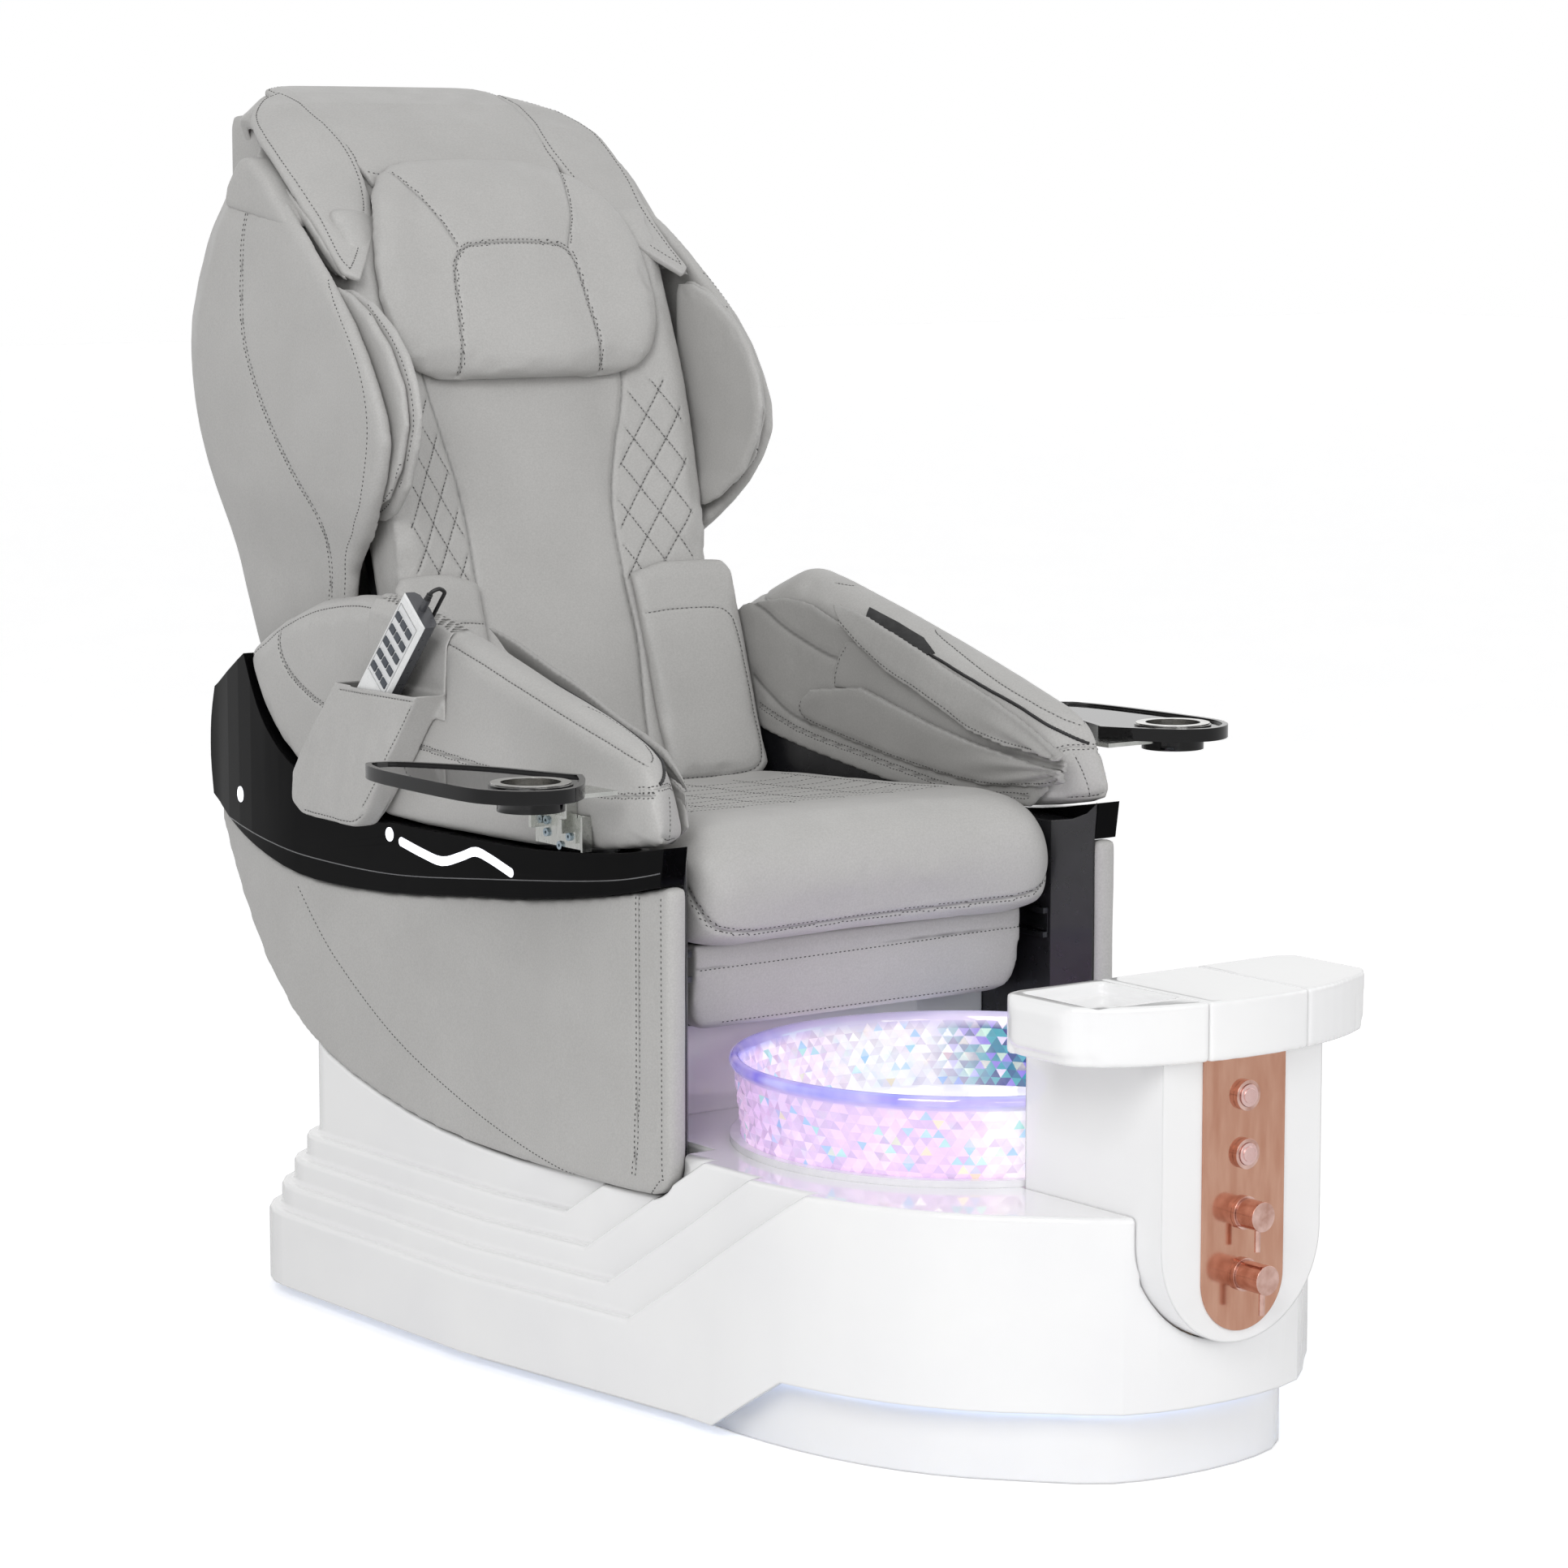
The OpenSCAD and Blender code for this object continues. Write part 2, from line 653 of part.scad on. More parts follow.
// Lights let into the band: two discs and a wave
wave = smooth([[395, 590], [350, 582], [305, 577], [262, 588], [232, 597], [200, 592], [158, 581]], 4);
wave_r = 5.5;
light_depth = 4;
module arm_light_shapes(g) {
    intersection() {
        along_x(skin_in + 18, 200) {
            translate([802, 603]) circle(10 + g);
            translate([422, 596]) circle(8.5 + g);
            polygon(concat([for (p = wave) [p[0], p[1] + wave_r + g]],
                [for (a = [100 : 20 : 260]) wave[len(wave) - 1] + (wave_r + g) * [cos(a), sin(a)]],
                reversed([for (p = wave) [p[0], p[1] - wave_r - g]]),
                [for (a = [-80 : 20 : 80]) wave[0] + (wave_r + g) * [cos(a), sin(a)]]));
        }
        difference() {
            linear_extrude(big) arm_plan(band_out + 0.6 - g / 2);
            linear_extrude(big) arm_plan(band_out - light_depth - g);
        }
    }
}
module arm_lights() { color("white") both_sides() arm_light_shapes(0); }

// Upholstered top of an arm: rings across the arm, from front to rear
ridge_right = [[-137, 652], [-130, 690], [-120, 718], [-102, 740], [-73, 754], [43, 785], [143, 812],
    [257, 843], [389, 873], [450, 881], [520, 882], [609, 868], [694, 839], [750, 812], [780, 792]];
ridge_left = [[-137, 652], [-130, 690], [-120, 720], [-102, 743], [-73, 757], [43, 791], [143, 820],
    [257, 852], [389, 885], [430, 891], [497, 864], [577, 826], [650, 806], [720, 792], [780, 778]];
cushion_front = arm_front + 9;
cushion_skew = 46;          // how far the cushion's front is set back towards the seat
cushion_rear = 776;
cushion_places = [cushion_front, -129, -119, -102, -73, -30, 20, 80, 143, 200, 257, 320, 366, 409, 425,
    440, 480,
    520, 560, 609, 650, 694, 735, cushion_rear];
function cushion_low(y) = along(band_top_pts, y) + seat_gap;
function cushion_side(y) = max(cushion_low(y), along(inner_top, y) + 5);
function arm_ring(y, ridge) = let (
        b = cushion_low(y), i = cushion_side(y), r = along(ridge, y), o = arm_face(y),
        h = max(6, r - b), q = min(22, h / 3), x1 = skin_in + 0.3, x0 = arm_in + 2,
        k = cushion_skew / (o - x0) * (1 - ease((y - cushion_front) / 190))
    ) [for (p = [
        [x0, y, min(i, r - 5)], [x0 + 1, y, mix(min(i, r - 5), r, 0.4)], [x0 + 4, y, r - q * 1.1],
        [x0 + 14, y, r - q * 0.45], [x0 + 28, y, r - q * 0.1], [o - 22, y, r],
        [o - 8, y, r - q * 0.25], [o - 1, y, r - q * 0.9], [o + 2, y, b + h * 0.55], [o + 2, y,
            b + h * 0.25],
        [o - 1, y, b], [mix(x1, o, 0.5), y, b], [x1, y, b], [x1 - 0.1, y, min(i + 0.4, r - 5.2)]
    ]) [p[0], p[1] + k * max(0, o - p[0]), p[2]]];
module arm_cushion(ridge) { color("darkgray") loft([for (y = cushion_places) arm_ring(y, ridge)]); }
module arm_cushion_left() { on_left(1) arm_cushion(ridge_left); }
module arm_cushion_right() { on_left(-1) arm_cushion(ridge_right); }

// Air pads inside an arm: three leaves, one over the other, that narrow towards the front
leaf_rings = 6;
leaf_t = 13;
leaves = [ // rear end, lower edge at the rear, height at the rear, height at the front
    [308, 776, 74, 684], [332, 728, 44, 674], [380, 690, 34, 665]];
leaf_front = -98;
function leaf_ring(v, k) = let (
        t = k / leaf_rings, y = mix(leaf_front, v[0], t),
        h = v[2] * (0.35 + 0.65 * pow(t, 0.7)) * (k == leaf_rings ? 0.8 : 1),
        z = mix(v[3], v[1], pow(t, 0.9)),
        w = leaf_t * (0.55 + 0.45 * sin(clamp01(t * 1.4) * 90)) * (k == leaf_rings ? 0.4 : 1),
        x = arm_in - seat_gap - w
    ) [for (a = [0 : 45 : 315]) [x + w / 2 - w / 2 * sgn(cos(a)) * pow(abs(cos(a)), 0.7), y,
        z + h / 2 + h / 2 * sgn(sin(a)) * pow(abs(sin(a)), 0.9)]];
module arm_airbags() {
    color("gray") both_sides() for (v = leaves) loft([for (k = [0 : leaf_rings]) leaf_ring(v, k)]);
}

// White cover behind the chair, along the arms' rear edges
cover_pts = [[560, 312], [640, 345], [722, 405], [826, 500], [893, 575], [926, 640], [924, 700]];
cover_t = 8;
cover_half_w = arm_in - 0.4;
cover_line = smooth(cover_pts, 3);
module rear_cover() {
    n = len(cover_line);
    inner = [for (i = [0 : n - 1]) let (
        d = cover_line[min(n - 1, i + 1)] - cover_line[max(0, i - 1)], l = norm(d)
    ) cover_line[i] + cover_t * [-d[1], d[0]] / l];
    color("white") difference() {
        along_x(-cover_half_w, 2 * cover_half_w) polygon(concat(cover_line, reversed(inner)));
        translate([-big / 2, 0, 0]) cube([big, base_rear - ledges * ledge_in + 1, big]);
    }
}

// ---------- trays ----------

// Outline points moved inwards along their normals by d
function drawn_in(v, d) = let (n = len(v)) [for (i = [0 : n - 1]) let (
    t = v[(i + 1) % n] - v[(i + n - 1) % n]
) v[i] + d / norm(t) * [-t[1], t[0]]];

plate_front = -2;
plate_rear = 108;
plate_low = 624;
plate_top = 664;
plate_face = arm_out + 2.5;
pad_front = 22;             // the second plate, with the hinge's ears
pad_rear = 90;
pad_t = 3;
pin_x = plate_face + pad_t + 12;
pin_z = tray_h - tray_t - 14;
pin_r = 5;
run_fit = 0.05;             // radial clearance of a pin that turns
ear_t = 5;
module ear(y) {
    along_y(y, ear_t) difference() {
        union() {
            translate([plate_face + 0.5, plate_top - 20]) square([pin_x + 6 - plate_face, 16]);
            translate([plate_face + 0.5, plate_top - 10]) square([pin_x - plate_face - 0.5,
                pin_z - plate_top + 10]);
            translate([pin_x, pin_z]) circle(9);
        }
        translate([pin_x, pin_z]) circle(pin_r + run_fit);
    }
}
module tray_bracket() {
    mid = (plate_front + plate_rear) / 2;
    color("silver") {
        translate([0, 0, plate_low]) linear_extrude(plate_top - plate_low) polygon([
            [arm_face(plate_front) + 2.6, plate_front], [plate_face, plate_front],
            [plate_face, plate_rear], [arm_face(plate_rear) + 2.6, plate_rear], [arm_face(mid) + 2.6,
                mid]]);
        translate([plate_face, plate_front, plate_low]) cube([10, 3, plate_top - plate_low]);
        translate([plate_face, pad_front, plate_low + 7]) cube([pad_t, pad_rear - pad_front,
            plate_top - plate_low - 11]);
        ear(pad_front);
        ear(pad_rear - ear_t);
    }
}
module tray_brackets() { both_sides() tray_bracket(); }

screw_r = 5;
module screw(x, y, z) { along_x(x + 0.1, 2.6) translate([y, z]) difference() {
    circle(screw_r);
    circle(2, $fn = 6);
} }
module bracket_screws() {
    color("lightsteelblue") both_sides() {
        for (y = [pad_front + 11, pad_rear - 11], z = [plate_low + 14, plate_top - 12])
            screw(plate_face + pad_t, y, z);
        screw(plate_face, plate_rear - 8, plate_top - 10);
        screw(plate_face, (pad_front + pad_rear) / 2, plate_low + 1.2);
    }
}

arm_reach = 430;
module tray_arm() {
    y0 = pad_front + ear_t + 0.5;
    y1 = pad_rear - ear_t - 0.5;
    color("lightgray") {
        along_y(pad_front - 4, pad_rear - pad_front + 8) translate([pin_x, pin_z]) circle(pin_r);
        along_y(y0, y1 - y0) translate([pin_x, pin_z]) circle(pin_r + 3.5);
        along_y(y0, y1 - y0) polygon([[pin_x - 4, pin_z], [pin_x + 4, pin_z - 4], [arm_reach,
            tray_h - tray_t - 5],
            [arm_reach, tray_h - tray_t], [pin_x - 4, tray_h - tray_t]]);
        translate([pin_x + 6, -90, tray_h - tray_t - 5]) cube([arm_reach - pin_x - 6, 90 + y0 + 2, 5]);
    }
}
module tray_arm_left() { on_left(1) tray_arm(); }
module tray_arm_right() { on_left(-1) tray_arm(); }

tray_pts = [[380, -50], [392, -20], [424, 75], [474, 162], [500, 183], [525, 176], [541, 110], [547, -50],
    [535, -105], [507, -136], [470, -146], [434, -128], [402, -88], [380, -50]];
tray_edge = let (v = smooth(tray_pts, 4)) [for (i = [len(v) - 2 : -1 : 0]) v[i]];
tray_rim = 7;
tray_dish = 3;
cup_y = -81;
lip_over = 10;
well_wall = 3;
module tray() {
    color([0.05, 0.05, 0.055]) difference() {
        union() {
            translate([0, 0, tray_h - tray_t]) linear_extrude(tray_t) polygon(tray_edge);
            translate([cup_x, cup_y, tray_h - cup_d - well_wall - 1]) cylinder(r = cup_r + well_wall,
                h = 20);
        }
        translate([0, 0, tray_h - tray_dish]) linear_extrude(tray_dish + 1) difference() {
            polygon(drawn_in(tray_edge, tray_rim));
            translate([cup_x, cup_y]) circle(cup_r + lip_over + 2);
        }
        translate([cup_x, cup_y, tray_h - cup_d - 1]) cylinder(r = cup_r + fit, h = big);
    }
}
module tray_left() { on_left(1) tray(); }
module tray_right() { on_left(-1) tray(); }

cup_wall = 1.4;
module cup() {
    color("silver") translate([cup_x, cup_y, 0]) difference() {
        union() {
            translate([0, 0, tray_h - cup_d]) cylinder(r = cup_r, h = cup_d + 1);
            translate([0, 0, tray_h]) cylinder(r = cup_r + lip_over, h = 2);
        }
        translate([0, 0, tray_h - cup_d + cup_wall]) cylinder(r = cup_r - cup_wall, h = big);
    }
}
module cup_left() { on_left(1) cup(); }
module cup_right() { on_left(-1) cup(); }

// ---------- handset ----------

pocket_in = arm_out + band_out + 0.4;
pocket_back = 1.8;
pocket_out = pocket_in + 43;
pocket_wall = 2;
strap_front = 296;
strap_rear = 470;
strap_rings = 10;
pocket_shape = [[291, 778], [476, 779], [583, 660], [590, 622], [561, 607], [441, 604], [415, 626]];
function strap_ring(y) = let (v = arm_ring(y, ridge_right), t = 1.8, g = 0.45) concat(
    [for (k = [[4, -0.2, 1], [5, 0, 1], [6, 0.5, 0.87], [7, 1.3, 0.6], [8, 1.9, 0]])
        v[k[0]] + (g + t) * [k[1], 0, k[2]]],
    [for (k = [[8, 1, 0], [7, 0.9, 0.44], [6, 0.5, 0.87], [5, 0, 1], [4, -0.2, 1]])
        v[k[0]] + g * [k[1], 0, k[2]]]);
module remote_pocket() {
    color("darkgray") on_left(-1) {
        difference() {
            along_x(pocket_in, pocket_out - pocket_in) polygon(pocket_shape);
            along_x(pocket_in + pocket_back, pocket_out - pocket_in - pocket_back - pocket_wall)
                polygon([[296, 800], [473, 800], [473, 779], [580, 659], [587, 624], [560, 610], [443, 607],
                    [419, 628], [295, 778]]);
        }
        loft([for (k = [0 : strap_rings]) strap_ring(mix(strap_front, strap_rear, k / strap_rings))]);
    }
}

handset_tilt = 42;
handset_top = [304, 878];
handset_l = 200;
handset_half = 29;
handset_in = arm_out + 18;
handset_t = 26;
handset_out = handset_in + handset_t;
key_dish = 2.5;
module handset_place() {
    on_left(-1) translate([0, handset_top[0], handset_top[1]]) rotate([handset_tilt, 0, 0]) children();
}
module handset() {
    color("white") handset_place() difference() {
        union() {
            intersection() {
                translate([handset_in, -handset_half, -handset_l]) cube([handset_t, 2 * handset_half,
                    handset_l]);
                translate([0, 0, -handset_l]) linear_extrude(big) polygon([
                    [handset_in, 0], [handset_in + 3, -handset_half + 5], [handset_in + 9, -handset_half],
                    [handset_out - 4, -handset_half], [handset_out, -handset_half + 4],
                    [handset_out, handset_half - 4], [handset_out - 4, handset_half],
                    [handset_in + 9, handset_half], [handset_in + 3, handset_half - 5]]);
            }
            translate([cord_x, 0, -1]) cylinder(r = 4.5, h = relief_l + 1);
        }
        translate([handset_out - key_dish, -key_half - 1, -key_end - 2])
            cube([10, 2 * key_half + 2, key_end - key_start + 4]);
    }
}
cord_x = handset_out - 14;
relief_l = 18;
key_start = 12;
key_end = 122;
key_half = 22;
key_travel = 0.8;
module handset_keys() {
    x = handset_out - key_dish + key_travel + 0.3;
    color("dimgray") handset_place() {
        translate([x, -key_half, -key_end]) cube([1.4, 2 * key_half, key_end - key_start]);
        for (r = [0 : 4], c = [-1 : 1])
            translate([x + 1.3, c * 14 - 5.5, -key_end + 8 + r * 21]) cube([2.4, 11, 9]);
    }
}

cord_r = 2.5;
cord_back = pocket_in + pocket_back + cord_r + 0.3;
cord_pts = concat([[366, 0, 18], [366, 0, 26], [365, 0, 30], [362, 0, 33], [357, 0, 35], [352, 0, 33],
    [348, 0, 30]], [for (z = [26, 12, 0, -20, -40, -60, -80, -100, -120]) [cord_back, 0, z]],
    [[cord_back, -1, -140], [cord_back, -2, -160], [cord_back, -3, -180]]);
function cord_ring(i) = let (
        n = len(cord_pts), t = cord_pts[min(n - 1, i + 1)] - cord_pts[max(0, i - 1)], u = t / norm(t),
        v = [0, 1, 0], w = cross(u, v), s = w / norm(w)
    ) [for (a = [0 : 45 : 315]) cord_pts[i] + cord_r * (cos(a) * v + sin(a) * s)];
module handset_cord() {
    color("black") handset_place() loft([for (i = [0 : len(cord_pts) - 1]) cord_ring(i)]);
}

// ---------- seat ----------

seat_rail_t = 30;           // width of a side tube
seat_rail_h = 28;
frame_front = -40;
frame_rear = 500;
tube_rear = frame_rear - 5; // rear of the seat's rear tube
pan_t = 4.5;
lug_r = 18;
hinge_pin_r = 8;
rod_r = 6;
rod_z = seat_rail_z - 16;
actuator_r = 13;
actuator_front = 100;
actuator_rear = actuator_front + seat_travel + 130;
module seat_frame() {
    x0 = seat_frame_half - seat_rail_t;
    color("dimgray") difference() {
        union() {
            for (s = [0, 1]) mirror([s, 0, 0]) {
                translate([x0, frame_front, seat_rail_z]) cube([seat_rail_t, frame_rear - frame_front,
                    seat_rail_h]);
                along_x(seat_frame_half - 20, 20) {
                    translate([hinge_y, hinge_h]) circle(lug_r);
                    translate([frame_rear - 1, seat_rail_z]) square([hinge_y - frame_rear + 1,
                        seat_rail_h + 8]);
                }
            }
            translate([-x0 - 1, frame_front, seat_rail_z]) cube([2 * x0 + 2, 30, seat_rail_h]);
            translate([-x0 - 1, tube_rear - 25, seat_rail_z]) cube([2 * x0 + 2, 25, seat_rail_h]);
            translate([-seat_frame_half, frame_front, seat_rail_z + seat_rail_h - 0.01])
                cube([2 * seat_frame_half, frame_rear - frame_front, pan_t]);
            // lug and rod of the actuator that pushes the seat
            translate([-9, frame_front + 21, rod_z - 9]) cube([18, 9, seat_rail_z - rod_z + 10]);
            along_y(frame_front + 29, actuator_rear - 59 - frame_front) translate([0, rod_z]) circle(rod_r);
        }
        along_x(-big / 2, big) translate([hinge_y, hinge_h]) circle(hinge_pin_r);
    }
}
module seat_actuator() {
    color("gray") {
        along_y(actuator_front, actuator_rear - actuator_front) translate([0, rod_z]) difference() {
            circle(actuator_r);
            circle(rod_r + fit);
        }
        for (y = [leg_front + tube / 2, actuator_rear - 30])
            translate([-16, y, beam_z + 20]) difference() {
                cube([32, 22, rod_z - beam_z - 22]);
                translate([16, -1, rod_z - beam_z - 20]) rotate([-90, 0,
                    0]) cylinder(r = actuator_r - 1, h = 30);
            }
        translate([-70, actuator_rear - 32, beam_z + 20]) cube([54.5, 60, 26]);
        translate([-leg_x - tube / 2 + 30, actuator_rear - 30,
            beam_z + 20]) cube([leg_x + tube / 2 - 99, 22, 4]);
    }
}

seat_rear = 424;
seat_low = seat_rail_z + seat_rail_h + pan_t + 0.5;
seat_lip = seat_h - seat_t - 9;
seat_lip_rear = frame_front - 2;
seat_round = 62;            // width of the rounded side of the cushion
seat_drop = min(46, seat_h - seat_low - 44);   // how far the side rounds down
function seat_ring(x) = let (
        u = clamp01((abs(x) - seat_half_w + seat_round) / seat_round), q = 1 - sqrt(max(0, 1 - u * u)),
        f = seat_front - 7 * ease(abs(x) / 230) * (1 - q) + 26 * q, h = seat_h, d = seat_drop * q,
        dish = 5 * (1 - ease((abs(x) - 150) / 40)), lip = seat_lip + 5 * q
    ) concat([for (p = [[f + 22, lip], [f + 6, lip + 14], [f - 1, mix(lip + 40, h - 70, 0.4)], [f,
        h - 62 - d * 0.4],
            [f + 8, h - 34 - d * 0.7], [f + 25, h - 13 - d], [f + 54, h - 3 - d], [f + 96, h - d],
            [f + 150, h - 2 - d - dish * 0.4], [90, h - 6 - d - dish], [220, h - 13 - d - dish],
            [330, h - 18 - d - dish * 0.7], [seat_rear - 14, h - 23 - d], [seat_rear, h - 34 - d]]) [x,
                p[0], p[1]]],
        [for (p = [[seat_rear, seat_low], [seat_rear - 14, seat_low], [330, seat_low], [220, seat_low],
            [90, seat_low],
            [40, seat_low], [0, seat_low], [-20, seat_low], [seat_lip_rear + 1, seat_low],
            [seat_lip_rear, seat_low - 1], [seat_lip_rear - 0.5, lip + 3], [seat_lip_rear - 4, lip],
            [f + 42, lip], [f + 30, lip - 0.6]]) [x, p[0], p[1]]]);
seat_stations = [1, 0.996, 0.982, 0.957, 0.92, 0.865, 0.79, 0.7, 0.6, 0.48, 0.3, 0.1];
module seat_cushion() {
    color("darkgray") loft([for (t = concat(-seat_stations,
        reversed(seat_stations))) seat_ring(t * seat_half_w)]);
}

calf_half = 240;
calf_low = rim_h + 17;
calf_top = min(seat_lip, seat_low) - 1;
calf_corner = 34;
module calf_panel() {
    color("darkgray") intersection() {
        along_x(-calf_half, 2 * calf_half) polygon([[-48, calf_low], [-60, calf_low + 8],
            [-66, mix(calf_low, calf_top, 0.29)], [-70, mix(calf_low, calf_top, 0.6)],
            [-72, mix(calf_low, calf_top, 0.85)], [-70, calf_top], [frame_front - 0.5, calf_top],
            [frame_front - 0.5, seat_rail_z - 1], [-26, seat_rail_z - 2], [-20, calf_low + 10],
            [-28, calf_low]]);
        along_y(-big / 2, big) union() {
            translate([-calf_half, calf_low + calf_corner]) square([2 * calf_half, 200]);
            translate([-calf_half + calf_corner, calf_low]) square([2 * (calf_half - calf_corner), 200]);
            for (s = [-1, 1]) translate([s * (calf_half - calf_corner),
                calf_low + calf_corner]) circle(calf_corner);
        }
    }
}

// ---------- backrest ----------

back_lean = 17.3;           // lean of the massage track from upright
frame_depth = 30;           // depth of an upright, front to rear
upright_in = 190;
upright_w = 20;
upright_front = -6;         // front of the uprights from the line through the hinge
upright_l = 790;
module leant() { translate([0, hinge_y, hinge_h]) rotate([-back_lean, 0, 0]) children(); }
// Place of the uprights' front plane at a height
function track_y(z) = hinge_y + (z - hinge_h) * tan(back_lean) + upright_front / cos(back_lean);

strap_low = 100;
strap_high = 735;
module backrest_frame() {
    color("dimgray") leant() {
        for (s = [0, 1]) mirror([s, 0, 0]) {
            translate([upright_in, upright_front, 30]) cube([upright_w, frame_depth, upright_l - 30]);
            translate([upright_in, -14, -16]) cube([upright_w, frame_depth + 8, 47]);
            // hinge pin in the seat frame's lug
            along_x(upright_in + upright_w - 1, seat_frame_half - upright_in - upright_w - 1)
                circle(hinge_pin_r - run_fit);
            // plates that carry the shell
            translate([upright_in + 10, 10, strap_low]) cube([shell_low_in - upright_in - 11.6, 90, 30]);
            translate([upright_in + 10, 6, strap_high]) cube([shell_high_in - upright_in - 13, 30, 30]);
        }
        for (z = [36, upright_l - 24]) translate([-upright_in - 1, upright_front, z])
            cube([2 * upright_in + 2, frame_depth, 20]);
    }
}

motor_r = 28;
module recline_motor() {
    color("gray") {
        along_x(-60, 120) translate([hinge_y, hinge_h]) circle(motor_r);
        translate([-30, tube_rear + 0.2, hinge_h - 20]) cube([60, hinge_y - tube_rear - 10, 16]);
        // drive shaft to the uprights
        along_x(-upright_in + 0.5, 2 * upright_in - 1) translate([hinge_y, hinge_h]) circle(7);
    }
}

carriage_low = 130;         // lowest place of the rollers' axle on the track
axle_depth = 24;
axle_r = 6;
cheek_x = 86;
cheek_t = 8;
module massage_carriage() {
    color("gray") leant() {
        translate([-upright_in + 24, 54, carriage_low - 60]) cube([2 * upright_in - 48, 24, 120]);
        for (s = [0, 1]) mirror([s, 0, 0]) {
            // guide blocks on the uprights' inner faces
            translate([upright_in - 25, 2, carriage_low - 50]) cube([24.5, 60, 100]);
            along_x(cheek_x, cheek_t) difference() {
                union() {
                    translate([axle_depth, carriage_low]) circle(14);
                    translate([axle_depth, carriage_low - 14]) square([54.5 - axle_depth, 28]);
                }
                translate([axle_depth, carriage_low]) circle(axle_r + run_fit);
            }
        }
    }
}
roller_r = 26;
roller_x = 46;
module massage_rollers() {
    color("saddlebrown") leant() {
        along_x(-cheek_x - cheek_t - 2, 2 * (cheek_x + cheek_t + 2)) translate([axle_depth,
            carriage_low]) circle(axle_r);
        for (s = [-1, 1]) along_x(s * roller_x - 16, 32) translate([axle_depth,
            carriage_low]) circle(roller_r);
        for (s = [-1, 1]) along_x(s * roller_x - 22, 44) translate([axle_depth,
            carriage_low]) circle(roller_r - 6);
    }
}

hood_rear_z = 1380;         // lower edge of the hood's flap behind the shell
// Shell of the back: height, half width, place of its front edges, place of its rear
shell_pts = [[610, waist_half_w - 11, 650, 838], [700, waist_half_w - 5, 650, 887],
    [790, waist_half_w - 1, 650, 933], [890, waist_half_w, 640, 977], [940, waist_half_w + 11, 585, 988],
    [990, wing_half_w - 12, 535, 990], [1060, wing_half_w - 2, 498, 1010], [1130, wing_half_w, 520, 1025],
    [1205, wing_half_w - 2, 577, 1028], [1300, wing_half_w - 12, 690, 1002],
    [1335, wing_half_w - 19, 742, 984],
    [hood_rear_z - 1.5, wing_half_w - 28, 795, 958]];
shell_line = smooth(shell_pts, 2);
shell_low_in = waist_half_w - 10 - wing_t;
shell_high_in = wing_half_w - 4 - wing_t;
shell_crown = 60;           // how far the rear's middle stands behind its corners at the top
shell_angles = [[22.5, 22], [45, 44], [67.5, 64], [90, 80]];
// Rear of a ring: round corners below, half an ellipse above
function shell_rear(w, r, c, k) = [for (a = shell_angles) mix([w - c + c * cos(a[0]),
    r - c + c * sin(a[0])],
    [w * cos(a[1]), r - c + (c + shell_crown) * sin(a[1])], k)];
function shell_ring(p) = let (
        w = p[1], f = p[2], r = p[3], t = wing_t, c = min(90, (r - f) * 0.6), k = ease((p[0] - 1000) / 250),
        side = [[w - t * 0.5, f], [w - t * 0.2, f + 2], [w, f + 9], [w, mix(f + 9, r - c, 0.5)], [w,
            r - c]],
        y = max(f + 10, r - c),
        in_side = [[w - t * 0.6, f], [w - t * 0.85, f + 2], [w - t, f + 9], [w - t, mix(f + 9, y, 0.5)],
            [w - t, y]],
        outer = concat(side, shell_rear(w, r, c, k)),
        inner = concat(in_side, shell_rear(w - t, y + max(5, c - t), max(5, c - t), k))
    ) concat([for (q = outer) [q[0], q[1], p[0]]], [for (q = reversed(outer)) [-q[0], q[1], p[0]]],
        [for (q = inner) [-q[0], q[1], p[0]]], [for (q = reversed(inner)) [q[0], q[1], p[0]]]);
module back_shell() {
    color("darkgray") difference() {
        loft([for (p = shell_line) shell_ring(p)]);
        // room for the hood
        along_x(-hood_half_w - 1.2, 2 * hood_half_w + 2.4)
            polygon([[560, 1205], [640, 1246], [738, 1283], [890, 1384], [890, 1500], [560, 1500]]);
    }
}

// Front line of the back's middle: place at a height
back_pts = [[600, 478], [700, 520], [800, 551], [884, 580], [951, 600], [1115, 640], [1250, 690], [1330,
    725],
    [1410, 800]];
back_line = [for (p = smooth(back_pts, 4)) [p[0], p[1]]];
function wrap(x, z) = (31 + 14 * ease((z - 886) / 60)) * pow(clamp01((abs(x) - 112) / 125), 1.3);
function seam_x(z) = 113 + 34 * ease((z - 960) / 150);
function back_front(x, z) = along(back_line, z) - wrap(x, z)
    - 5 * cos(clamp01(abs(x) / seam_x(z)) * 90) * ease((z - 620) / 60);
back_low = hinge_h + 80;
back_top = 1345;
back_rings = 20;
back_xs = [237, 234, 226, 208, 182, 152, 134, 118, 112, 104, 84, 54, 20];
function back_ring(k) = let (
        z = mix(back_low, back_top, k / back_rings), e = k == 0 ? 14 : k == 1 ? 2 : k == back_rings ? 8 : 0,
        r = track_y(z) - 0.6
    ) concat([for (x = concat(back_xs, -reversed(back_xs))) let (
            o = abs(x) > 230 ? 14 : abs(x) > 220 ? 4 : 0, s = abs(abs(x) - seam_x(z)) < 5 ? 4 : 0
        ) [x, min(r - 10, back_front(x, z) + o + s + e), z]],
        [for (x = concat(-back_xs, reversed(back_xs))) [x * 0.96, r, z]]);
module back_cushion() { color("darkgray") loft([for (k = [0 : back_rings]) back_ring(k)]); }

